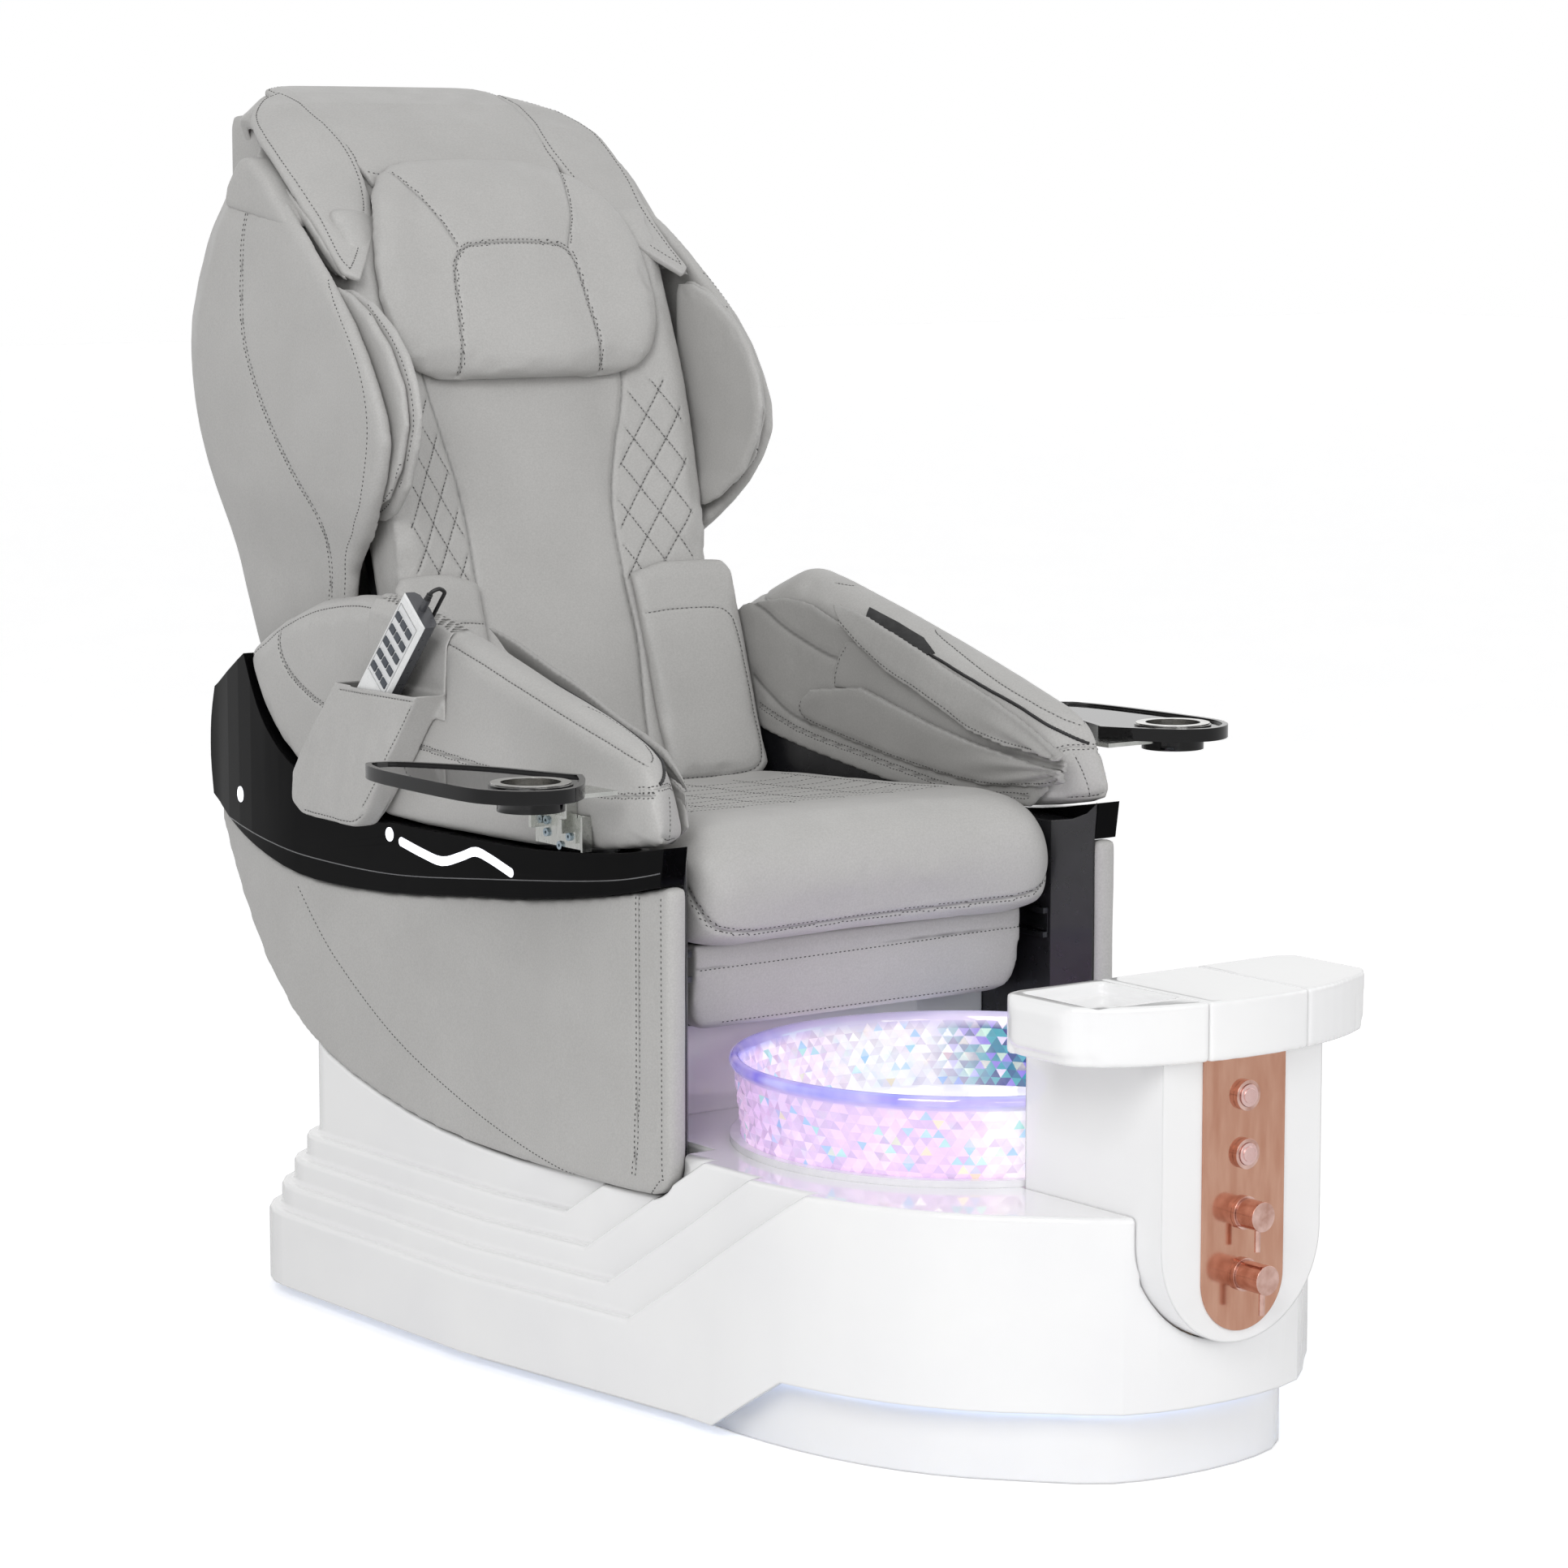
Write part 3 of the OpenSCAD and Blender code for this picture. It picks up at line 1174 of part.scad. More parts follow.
// Pads over the lower sides of the back: height, inner edge, outer edge
lumbar_pts = [[610, 118, 200], [618, 114, 222], [634, 114, 235], [700, 114, 237], [790, 114, 237],
    [860, 114, 237], [880, 114, 236], [892, 150, 228], [895, 190, 218]];
lumbar_t = 18;
function lumbar_ring(p, k) = let (
        e = k == 0 || k == len(lumbar_pts) - 1 ? 0.35 : k == 1 || k == len(lumbar_pts) - 2 ? 0.8 : 1,
        us = [0, 0.03, 0.1, 0.25, 0.5, 0.75, 0.9, 0.97, 1], ts = [0.35, 0.75, 0.95, 1, 1, 1, 0.95, 0.75,
            0.35]
    ) concat([for (i = [0 : 8]) let (x = mix(p[1], p[2], us[i]))
            [x, back_front(x, p[0]) - 1 - lumbar_t * ts[i] * e, p[0]]],
        [for (i = [8 : -1 : 0]) let (x = mix(p[1], p[2], us[i])) [x, back_front(x, p[0]) - 1, p[0]]]);
module lumbar_pads() {
    color("darkgray") both_sides() loft([for (k = [0 : len(lumbar_pts) - 1]) lumbar_ring(lumbar_pts[k],
        k)]);
}

// Pillow: height, half width as a part of the widest, thickness as a part of the middle's
pillow_pts = [[1125, 0.5, 0.25], [1129, 0.66, 0.6], [1138, 0.8, 0.86], [1158, 0.9, 0.98], [1190, 0.965, 1],
    [1227, 1, 1], [1265, 0.995, 1.02], [1297, 0.965, 1.07], [1330, 0.915, 1.15], [1358, 0.84, 1.2],
    [1380, 0.72, 1.15], [1394, 0.58, 0.95], [1402, 0.42, 0.6], [1405, 0.3, 0.25]];
function pillow_ring(p) = let (z = p[0], w = p[1] * pillow_half_w, t = p[2] * pillow_t) concat(
    [for (a = [90 : -12 : -90]) let (x = w * sin(a))
        [x, back_front(x, z) - 1.2 - max(5 * p[2], t * pow(cos(a), 0.62)) , z]],
    [for (a = [-90 : 12 : 90]) let (x = w * sin(a)) [x, back_front(x, z) - 1.2, z]]);
module pillow() { color("darkgray") loft([for (p = pillow_pts) pillow_ring(p)]); }

// Hood: lines of its top from the front to the ridge, for places across the chair
hood_half_w = 262;
hood_lines = [
    [hood_half_w, [[631, 1255], [655, 1276], [686, 1299], [718, 1326], [752, 1352], [792, 1376], [825, 1397],
        [852, 1412]]],
    [256, [[640, 1254], [664, 1276], [695, 1301], [727, 1328], [761, 1354], [802, 1380], [838, 1405],
        [868, 1422]]],
    [247, [[684, 1260], [708, 1284], [733, 1308], [762, 1336], [790, 1362], [826, 1391], [864, 1420],
        [890, 1436]]],
    [239, [[722, 1290], [734, 1306], [750, 1326], [772, 1350], [800, 1378], [834, 1408], [870, 1431],
        [903, 1447]]],
    [236, [[760, 1352], [770, 1360], [782, 1370], [798, 1384], [818, 1402], [848, 1422], [886, 1443],
        [930, 1460]]],
    [200, [[752, 1350], [764, 1362], [778, 1376], [796, 1392], [820, 1412], [852, 1434], [898, 1457],
        [962, 1473]]],
    [166, [[748, 1349], [760, 1362], [776, 1378], [796, 1396], [822, 1416], [856, 1440], [904, 1468],
        [986, 1490]]],
    [158, [[750, 1349], [762, 1360], [778, 1375], [798, 1393], [824, 1412], [858, 1437], [905, 1465],
        [986, 1487]]],
    [150, [[748, 1349], [760, 1362], [776, 1378], [796, 1396], [822, 1416], [856, 1440], [904, 1468],
        [988, 1491]]],
    [80, [[746, 1349], [758, 1363], [774, 1380], [794, 1398], [820, 1419], [854, 1444], [904, 1472],
        [992, 1496]]],
    [0, [[746, 1349], [758, 1363], [774, 1380], [794, 1398], [820, 1419], [854, 1444], [904, 1473],
        [992, 1498]]]];
// Points of the hood's underside, from those of its top
function hood_under(top) = let (n = len(top)) [for (i = [0 : n - 1]) let (
        d = top[min(n - 1, i + 1)] - top[max(0, i - 1)], l = norm(d)
    ) i == 0 ? top[0] + hood_t * [0.72, 0.08] : i == n - 1 ? top[i] + [-hood_t, 0]
        : top[i] + hood_t / l * [d[1], -d[0]]];
// Ring of the hood across its width; its rear edge hangs down as a flap behind the shell
function hood_ring(h, x) = let (
        v = h[1], m = 1 - ease((h[0] - 236) / 26), e = v[len(v) - 1], y = e[0] + 7 + 26 * m,
        flap = [e + [4 + 14 * m, -4 - 2 * m], [y, mix(e[1] - 9, hood_rear_z, 0.45 * m)],
            [y, mix(e[1] - 16, hood_rear_z, m)]],
        top = concat(v, flap)
    ) [for (p = concat(top, reversed(hood_under(top)))) [x, p[0], p[1]]];
module hood() {
    left = [for (h = hood_lines) if (h[0] > 0) hood_ring(h, -h[0])];
    right = [for (h = reversed(hood_lines)) hood_ring(h, h[0])];
    color("darkgray") loft(concat(left, right));
}

// Leaves beside the shoulders: height, place of the front edge
pad_in_pts = [[960, 575], [972, 548], [1004, 506], [1053, 479], [1092, 471], [1130, 478], [1167, 498],
    [1198, 527],
    [1232, 581], [1246, 625]];
pad_out_pts = [[982, 560], [990, 538], [1025, 502], [1083, 482], [1130, 491], [1177, 521], [1218, 567],
    [1240, 610],
    [1249, 640]];
pad_rear_y = 662;
leaf_pad_t = 10.5;
function shell_inner(z) = along([for (p = shell_line) [p[0], p[1] - wing_t]], z);
function pad_ring(p, layer, e) = let (
        x1 = min(shell_inner(p[0]) - 1.5, wing_half_w - wing_t - 6) - (layer == 1 ? 0 : leaf_pad_t + 1.5),
        x0 = x1 - leaf_pad_t, f = p[1], r = pad_rear_y, t = leaf_pad_t * e
    ) [for (q = [[x1 - t * 0.35, f], [x1 - t * 0.1, f + 3], [x1, f + 10], [x1, mix(f, r, 0.5)], [x1, r - 8],
        [x1 - t * 0.3, r], [x1 - t * 0.7, r], [x1 - t * 0.9, r - 8], [x1 - t, mix(f, r, 0.5)],
        [x1 - t * 0.98, f + 12], [x1 - t * 0.9, f + 4], [x1 - t * 0.6, f]]) [q[0], q[1], p[0]]];
module shoulder_pads() {
    color("darkgray") both_sides() for (layer = [1, 2]) {
        v = layer == 1 ? pad_out_pts : pad_in_pts;
        n = len(v) - 1;
        loft([for (i = [0 : n]) pad_ring(v[i], layer, i == 0 || i == n ? 0.5 : 1)]);
    }
}

// ---------- nodes ----------

base_shell();
chassis_board();
plinth();
plinth_light();
bowl();
bowl_ring();
bowl_drain();
jet_pump();
pedestal();
footrest_centre();
footrest_left();
footrest_right();
control_panel();
jet_button();
drain_button();
button_bezels();
valve_stems();
flow_knob();
temp_knob();
supply_hoses();
chair_frame();
control_box();
side_panel_left();
side_panel_right();
arm_inners();
arm_band_left();
arm_band_right();
arm_lights();
arm_cushion_left();
arm_cushion_right();
arm_airbags();
tray_brackets();
bracket_screws();
tray_arm_left();
tray_arm_right();
tray_left();
tray_right();
cup_left();
cup_right();
remote_pocket();
handset();
handset_keys();
handset_cord();
rails_fixed();
rails_moving();
seat_actuator();
seat_frame();
seat_cushion();
calf_panel();
rear_cover();
backrest_frame();
recline_motor();
massage_carriage();
massage_rollers();
back_shell();
back_cushion();
lumbar_pads();
pillow();
hood();
shoulder_pads();
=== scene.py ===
import json
import math
from functools import partial

import bmesh
import bpy
import numpy as np
from mathutils import Euler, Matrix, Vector, noise
from mathutils.bvhtree import BVHTree
from mathutils.kdtree import KDTree


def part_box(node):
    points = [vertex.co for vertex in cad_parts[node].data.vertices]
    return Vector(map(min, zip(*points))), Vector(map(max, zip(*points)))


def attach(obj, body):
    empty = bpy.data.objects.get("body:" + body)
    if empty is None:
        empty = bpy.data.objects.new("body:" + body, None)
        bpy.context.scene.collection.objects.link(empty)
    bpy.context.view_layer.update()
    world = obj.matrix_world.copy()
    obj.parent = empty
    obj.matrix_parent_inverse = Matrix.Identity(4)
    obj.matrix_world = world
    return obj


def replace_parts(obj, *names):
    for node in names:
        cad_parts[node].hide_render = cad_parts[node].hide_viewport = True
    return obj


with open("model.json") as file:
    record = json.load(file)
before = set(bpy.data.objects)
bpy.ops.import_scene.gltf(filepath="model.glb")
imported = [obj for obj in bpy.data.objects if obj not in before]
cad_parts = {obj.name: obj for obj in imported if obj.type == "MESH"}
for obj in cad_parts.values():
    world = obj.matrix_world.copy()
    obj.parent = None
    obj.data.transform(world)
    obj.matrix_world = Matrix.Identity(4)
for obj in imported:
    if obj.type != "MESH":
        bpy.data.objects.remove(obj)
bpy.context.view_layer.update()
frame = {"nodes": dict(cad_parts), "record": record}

scene = bpy.context.scene
mm = 0.001

# Camera
cameraData = bpy.data.cameras.new("camera")
cameraData.lens = 106.2
cameraData.sensor_width = 36
camera = bpy.data.objects.new("camera", cameraData)
camera.location = (-3.2647, -4.2938, 1.3850)
camera.rotation_euler = Euler((math.radians(90 - 7.5), 0, math.radians(-36.72)), "XYZ")
scene.collection.objects.link(camera)
scene.camera = camera

light = {"world": 0.55, "key": 82, "top": 6, "fill": 14, "front": 32, "floorLift": 0.4}


# Materials: colours are sRGB hex, and the scale of each pattern is 1000 over its size in mm.
def srgb(text):
    values = [int(text[i:i + 2], 16) / 255 for i in (0, 2, 4)]
    return tuple(v / 12.92 if v <= 0.04045 else ((v + 0.055) / 1.055) ** 2.4 for v in values) + (1,)


def addNode(tree, kind, **values):
    # Adds a node and gives its first open output. Names with a small letter are its settings, the others its
    # sockets. A socket takes a value or a link, and sockets that share a name take a list.
    made = tree.nodes.new("ShaderNode" + kind)
    for key, value in values.items():
        if key[0].islower():
            setattr(made, key, value)
            continue
        sockets = [s for s in made.inputs if s.enabled and s.name == key.replace("_", " ")]
        for socket, each in zip(sockets, value if isinstance(value, list) else [value]):
            if isinstance(each, bpy.types.NodeSocket):
                tree.links.new(each, socket)
            elif each is not None:
                socket.default_value = each
    return next((s for s in made.outputs if s.enabled), None)


def startMaterial(name):
    # A new material, the function that adds its nodes, and the object coordinates that its patterns read.
    made = bpy.data.materials.new(name)
    made.use_nodes = True
    made.node_tree.nodes.clear()
    add = partial(addNode, made.node_tree)
    return made, add, add("TexCoord").node.outputs["Object"]


def finishMaterial(made, add, **values):
    add("OutputMaterial", Surface=add("BsdfPrincipled", **values))
    return made


core = {"From_Min": 0.3, "From_Max": 0.7}  # most of a noise pattern lies between these


def leather(name, colour, worn, dark):
    # Full grain under clear dressing: uneven tone, fine pebbles, and painted shade in a dark line where a seam draws
    # it in.
    made, add, place = startMaterial(name)
    patches = add("MapRange", Value=add("TexNoise", Vector=place, Scale=1000 / 95, Detail=3), **core)
    grain = add("MapRange", Value=add("TexNoise", Vector=place, Scale=1000 / 2.2), **core)
    seam = add("Attribute", attribute_name="seam").node.outputs["Fac"]
    base = add("Mix", data_type="RGBA", Factor=patches, A=srgb(colour), B=srgb(worn))
    # darker in the grain's pits, then painted shade along each seam groove
    for share in (add("MapRange", Value=grain, To_Max=0.16),
                  add("MapRange", Value=seam, From_Min=0.35, To_Max=0.72)):
        base = add("Mix", data_type="RGBA", Factor=share, A=base, B=srgb(dark))
    # slow hollows, then pebbles of 1.5 mm, drawn a little coarser than they are, then pores
    normal = None
    for height, strength, depth in (
            (add("TexNoise", Vector=place, Scale=1000 / 60, Detail=4), 0.20, 2.2),
            (add("TexVoronoi", feature="DISTANCE_TO_EDGE", Vector=place, Scale=1000 / 1.5), 0.10, 0.12),
            (add("TexNoise", Vector=place, Scale=1000 / 0.8), 0.10, 0.06)):
        normal = add("Bump", Height=height, Strength=strength, Distance=depth * mm, Normal=normal)
    rough = add("MapRange", Value=add("TexNoise", Vector=place, Scale=1000 / 38, Detail=3), To_Min=0.40, To_Max=0.52,
                **core)
    return finishMaterial(made, add, Base_Color=base, Roughness=rough, Sheen_Weight=0.06, Sheen_Roughness=0.4,
                          Specular_IOR_Level=0.42, Normal=normal)


def gelcoat(name, colour, shade):
    # Polished gelcoat: a wet gloss over a faint ripple from the glass mat below.
    made, add, place = startMaterial(name)
    patches = add("MapRange", Value=add("TexNoise", Vector=place, Scale=1000 / 160), **core)
    rough = add("MapRange", Value=add("TexNoise", Vector=place, Scale=1000 / 25, Detail=3), To_Min=0.06, To_Max=0.11,
                **core)
    ripple = add("Bump", Height=add("TexNoise", Vector=place, Scale=1000 / 60), Strength=0.03, Distance=1.2 * mm,
                 Normal=add("Bevel", samples=4, Radius=4 * mm))
    return finishMaterial(made, add, Roughness=rough, Coat_Weight=0.8, Coat_Roughness=0.02, Normal=ripple,
                          Base_Color=add("Mix", data_type="RGBA", Factor=patches, A=srgb(colour), B=srgb(shade)))


def plastic(name, colour, shade, rough, coat=0.0, pebble=0.0, edge=1.0, shine=0.5):
    # Moulded or painted: even tone, softened edges, and spark-eroded pebbles where they are asked for.
    made, add, place = startMaterial(name)
    patches = add("MapRange", Value=add("TexNoise", Vector=place, Scale=1000 / 30, Detail=3), **core)
    flow = add("MapRange", Value=add("TexNoise", Vector=place, Scale=1000 / 12, Detail=3), To_Min=rough * 0.85,
               To_Max=rough * 1.2, **core)
    if pebble:
        height = add("TexVoronoi", feature="DISTANCE_TO_EDGE", Vector=place, Scale=1000 / 0.9)
    else:
        height = add("TexNoise", Vector=place, Scale=1000 / 60)
    bump = add("Bump", Height=height, Strength=pebble or 0.03, Distance=0.15 * mm,
               Normal=add("Bevel", samples=4, Radius=edge * mm))
    return finishMaterial(made, add, Roughness=flow, Coat_Weight=coat, Specular_IOR_Level=shine, Normal=bump,
                          Base_Color=add("Mix", data_type="RGBA", Factor=patches, A=srgb(colour), B=srgb(shade)))


def metal(name, colour, shade, rough, stretch=(1, 1, 1), brushed=0.0, edge=0.5):
    # Streaks of 14 mm, drawn out along the way that the metal was brushed, rolled or turned.
    made, add, place = startMaterial(name)
    streaks = add("TexNoise", Vector=add("Mapping", Vector=place, Scale=stretch), Scale=1000 / 14, Detail=3)
    bump = add("Bump", Height=streaks, Strength=brushed, Distance=0.05 * mm,
               Normal=add("Bevel", samples=4, Radius=edge * mm))
    return finishMaterial(made, add, Metallic=1.0, Normal=bump,
                          Roughness=add("MapRange", Value=streaks, To_Min=rough * 0.8, To_Max=rough * 1.3, **core),
                          Base_Color=add("Mix", data_type="RGBA", Factor=add("MapRange", Value=streaks, **core),
                                         A=srgb(colour), B=srgb(shade)))


def glowing(name, colour, strength):
    # Frosted diffuser over LEDs: lit from within, slightly uneven.
    made, add, place = startMaterial(name)
    haze = add("MapRange", Value=add("TexNoise", Vector=place, Scale=1000 / 9), To_Max=0.5, **core)
    base = add("Mix", data_type="RGBA", Factor=haze, A=srgb(colour), B=srgb("FFFFFF"))
    rough = add("MapRange", Value=add("TexNoise", Vector=place, Scale=1000 / 6), To_Min=0.3, To_Max=0.45, **core)
    return finishMaterial(made, add, Base_Color=base, Roughness=rough, Emission_Color=base, Emission_Strength=strength)


def jewelGlass(name):
    # Cut glass with a rainbow coating: each facet has its own tint, the rim is clear and violet, and the side of the
    # basin by the taps is peacock blue.
    made, add, place = startMaterial(name)
    tint, glow, basin = (add("Attribute", attribute_name=word).node.outputs["Fac"]
                         for word in ("tint", "glow", "basin"))
    x, y, z = add("SeparateXYZ", Vector=place).node.outputs
    coating = add("ValToRGB", Fac=tint)
    ramp = coating.node.color_ramp
    stops = [(0.10, "EBD0F4"), (0.30, "F8DFF8"), (0.48, "FDF2FC"), (0.62, "F9F6FB"), (0.74, "F0F2FA"),
             (0.90, "E8F1F6")]
    while len(ramp.elements) < len(stops):
        ramp.elements.new(0.5)
    for element, (spot, colour) in zip(ramp.elements, stops):
        element.position = spot
        element.color = srgb(colour)
    # painted glints: one facet in twelve flashes blue, teal or amber
    paintedGlint = srgb("9CC8F0")
    for low, high, colour in ((0.96, 0.97, "A6E0DA"), (0.985, 0.99, "F2DDB8")):
        paintedGlint = add("Mix", data_type="RGBA", Factor=add("MapRange", Value=glow, From_Min=low, From_Max=high), A=paintedGlint,
                    B=srgb(colour))
    facets = add("Mix", data_type="RGBA", A=coating, B=paintedGlint,
                 Factor=add("MapRange", Value=glow, From_Min=0.92, From_Max=0.93, To_Max=0.9))
    facets = add("Mix", data_type="RGBA", A=facets, B=srgb("B9B2D6"),
                 Factor=add("MapRange", Value=glow, From_Max=0.45, To_Min=0.3, To_Max=0))
    peacock = srgb("1B3F8F")
    for low, high, colour in ((0.2, 0.6, "2FA6B4"), (0.75, 0.8, "8E7BE0")):
        peacock = add("Mix", data_type="RGBA", Factor=add("MapRange", Value=glow, From_Min=low, From_Max=high),
                      A=peacock, B=srgb(colour))
    side = add("Math", operation="MULTIPLY_ADD", Value=[y, 0.34, add("Math", operation="MULTIPLY", Value=[x, 0.94])])
    deep = add("MapRange", Value=side, From_Min=0.095, From_Max=0.140, To_Max=0.95)
    base = add("Mix", data_type="RGBA", Factor=add("Math", operation="MULTIPLY", Value=[deep, basin]), A=facets,
               B=peacock)
    rim = add("Mix", data_type="RGBA", Factor=add("MapRange", Value=x, From_Min=-0.22, From_Max=0.02),
              A=srgb("8C84E6"), B=srgb("DAD3F0"))
    haze = add("MapRange", Value=add("TexNoise", Vector=place, Scale=1000 / 50), To_Max=0.6, **core)
    rim = add("Mix", data_type="RGBA", Factor=haze, A=rim, B=srgb("E9DDF6"))
    base = add("Mix", data_type="RGBA", Factor=add("MapRange", Value=z, From_Min=0.376, From_Max=0.386), A=base, B=rim)
    rough = add("MapRange", Value=add("TexNoise", Vector=place, Scale=1000 / 9), To_Min=0.03, To_Max=0.08, **core)
    # painted light: the glass glows faintly in its own colour, more on the facets with a high glow value
    return finishMaterial(made, add, Base_Color=base, Roughness=rough, IOR=1.5, Transmission_Weight=0.35,
                          Thin_Film_Thickness=420.0, Thin_Film_IOR=1.7, Emission_Color=base,
                          Emission_Strength=add("MapRange", Value=glow, To_Min=0.14, To_Max=0.30))


def twoTone(name, inner, outer, border, rough):
    # Two mouldings in one piece: the outer one shows past a plane across the chair.
    made, add, place = startMaterial(name)
    past = add("Math", operation="LESS_THAN", Value=[add("SeparateXYZ", Vector=place), border])
    base = add("Mix", data_type="RGBA", Factor=past, A=srgb(inner), B=srgb(outer))
    wear = add("MapRange", Value=add("TexNoise", Vector=place, Scale=1000 / 15, Detail=3), To_Max=0.08, **core)
    flow = add("MapRange", Value=add("TexNoise", Vector=place, Scale=1000 / 8), To_Min=rough * 0.85,
               To_Max=rough * 1.15, **core)
    return finishMaterial(made, add, Roughness=flow, Normal=add("Bevel", samples=4, Radius=1.2 * mm),
                          Base_Color=add("Mix", data_type="RGBA", Factor=wear, A=base, B=srgb("808284")))


materials = {
    # upholstery hide, embossed: soft wide highlights
    "leather_grey": leather("embossedLeather", "B9B8B6", "BEBDBB", "676665"),
    # the same hide as lining, a shade darker where it gets less light
    "leather_grey_dark": leather("liningLeather", "A4A3A1", "ABAAA8", "5A5958"),
    # polyester gelcoat, polished: wet white gloss
    "gelcoat": gelcoat("polishedGelcoat", "F4F4F4", "F0F0F1"),
    # ABS, moulded and lacquered: white with a soft reflection
    "ring_white": plastic("lacqueredAbs", "F0EFF2", "E6E5EA", 0.2, 0.4),
    # acrylic diffuser, frosted: cold blue light from within
    "led_diffuser": glowing("frostedAcrylic", "94BEFF", 2.2),
    # soda-lime glass, pressed in facets and coated: rainbow flashes, partly painted, and a faint painted glow
    "bowl_glass": jewelGlass("pressedGlass"),
    # stainless steel, deep-drawn: upright streaks with a bright rim
    "stainless": metal("drawnStainless", "D9D8D5", "C4C3C0", 0.16, (1, 1, 18), 0.3),
    # copper sheet, polished: warm reflections, hardly blurred
    "copper_plate": metal("polishedCopper", "D3A58F", "C49079", 0.13, (1, 1, 0.2), 0.05),
    # brass, plated rose and polished: almost a mirror
    "rose_chrome": metal("platedBrass", "E4C1B7", "C09587", 0.07, (1, 1, 1), 0.02, 0.8),
    # the same plating, blasted: a pink sheen without reflections
    "rose_cap": metal("blastedBrass", "E9C8C4", "E0BBB6", 0.22, (1, 1, 1), 0.1, 0.8),
    # stainless wire, braided round the hoses: glitters along its length
    "braided_hose": metal("braidedWire", "8E9092", "6F7173", 0.4, (30, 30, 1), 0.6),
    # steel tube, powder-coated: dull black with a light orange peel
    "frame_steel": plastic("powderCoatedSteel", "1B1B1D", "232325", 0.45, 0, 0.2),
    # ABS, moulded with a fine grain: grey glints at its edges
    "moulding_black": plastic("grainedAbs", "17171A", "1E1E21", 0.30, 0.2, 0.1, 2.0),
    # ABS, moulded against polished steel: deep black with sharp reflections
    "gloss_black": plastic("glossAbs", "040405", "070708", 0.05, 0.0, 0, 1.6, 0.05),
    # steel sheet, zinc-plated: pale grey, streaked along its bends
    "zinc_steel": metal("zincPlatedSteel", "D3D4D0", "BFC1BD", 0.24, (1, 6, 1), 0.35),
    # screw steel, blue-passivated: small cold highlights
    "screw_steel": metal("passivatedScrews", "B9C4CC", "8FA2AE", 0.18, (1, 1, 1), 0.2),
    # polycarbonate, moulded glossy: black, with paler reflections than the arm bands
    "tray_black": plastic("glossPolycarbonate", "09090A", "0D0D0E", 0.05, 0.0, 0, 1.2, 0.4),
    # ABS shells of the handset, moulded satin: dark back, white front
    "handset_white": twoTone("satinAbs", "45464A", "EDEEEE", -0.3757, 0.3),
    # silicone keypad, moulded matt: dark keys on a pale mat
    "key_rubber": twoTone("mattSilicone", "E6E7E8", "40454D", -0.3803, 0.5),
    # PVC sleeve, extruded: satin black
    "cord_black": plastic("extrudedPvc", "141415", "1C1C1D", 0.42),
    # steel rail, rolled and blackened: grey streaks along its length
    "rail_black": metal("rolledSteel", "5E5F63", "3E3F43", 0.3, (1, 0.2, 1), 0.2),
    # aluminium runner, extruded: paler streaks
    "runner_alu": metal("extrudedAluminium", "8B8C8E", "77787A", 0.32, (1, 0.1, 1), 0.3),
    # zinc motor case, cast and painted: grey with a grain
    "motor_grey": plastic("paintedZinc", "4A4C50", "404246", 0.45, 0, 0.2),
    # polypropylene, moulded with a coarse grain: waxy black
    "pump_black": plastic("grainedPolypropylene", "202022", "2A2A2C", 0.5, 0, 0.3),
    # polyurethane rollers, cast: brown, half matt
    "roller_amber": plastic("castPolyurethane", "7A4A22", "66401E", 0.4),
    # ABS electrics box, moulded with a coarse grain: dark and dull
    "box_dark": plastic("grainedBoxAbs", "2E3033", "26282B", 0.5, 0, 0.3),
    # birch plywood, sanded: pale and matt
    "timber_board": plastic("sandedPlywood", "B79C74", "A58A63", 0.7),
}
threadGrey = plastic("twistedPolyester", "50504F", "474746", 0.7)  # sewing thread: matt dark dashes
# painted highlight: the grey of the crease tubes stands in for the light that the bands' crease catches
creaseHighlight = plastic("paintedCreaseHighlight", "4A4B4E", "56575A", 0.2, 0.5)  # the bands' crease, which catches the light
dullBlack = plastic("wovenNylon", "1D1D1E", "262627", 0.6, 0, 0.3)  # hook tape and zips: no shine
whiteDiffuser = glowing("opalAcrylic", "F2F5FF", 1.4)  # discs and waves in the arm bands: white light

slotOf = {s["node"]: s["material_slot"] for s in frame["record"]["subparts"]}
for node, cadObject in frame["nodes"].items():
    cadObject.data.materials.clear()
    cadObject.data.materials.append(materials[slotOf[node]])
frame["nodes"]["arm_lights"].data.materials[0] = whiteDiffuser
print("materials done")


# Helpers for pieces
def addPiece(name, mesh, slot, body, material=None):
    # A piece on its body, in the material of its slot unless another is given.
    mesh.materials.append(material or materials[slot])
    made = bpy.data.objects.new(name, mesh)
    scene.collection.objects.link(made)
    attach(made, body)
    return made


def newPiece(name, vertices, faces, slot, body, material=None):
    mesh = bpy.data.meshes.new(name)
    mesh.from_pydata([tuple(v) for v in vertices], [], [tuple(f) for f in faces])
    mesh.validate()
    for face in mesh.polygons:
        face.use_smooth = True
    return addPiece(name, mesh, slot, body, material)


def meshFrom(build, name):
    mesh = bpy.data.meshes.new(name)
    build.to_mesh(mesh)
    build.free()
    return mesh


def meshTree(mesh):
    return BVHTree.FromPolygons([v.co for v in mesh.vertices], [list(p.vertices) for p in mesh.polygons])


def coords(mesh):
    flat = np.empty(len(mesh.vertices) * 3)
    mesh.vertices.foreach_get("co", flat)
    return flat.reshape(-1, 3)


def normals(mesh):
    flat = np.empty(len(mesh.vertices) * 3)
    mesh.vertices.foreach_get("normal", flat)
    return flat.reshape(-1, 3)


def setCoords(mesh, points):
    mesh.vertices.foreach_set("co", points.reshape(-1))
    mesh.update()


def evaluated(made):
    graph = bpy.context.evaluated_depsgraph_get()
    graph.update()
    return bpy.data.meshes.new_from_object(made.evaluated_get(graph))


def applied(made):
    mesh = evaluated(made)
    made.modifiers.clear()
    made.data = mesh


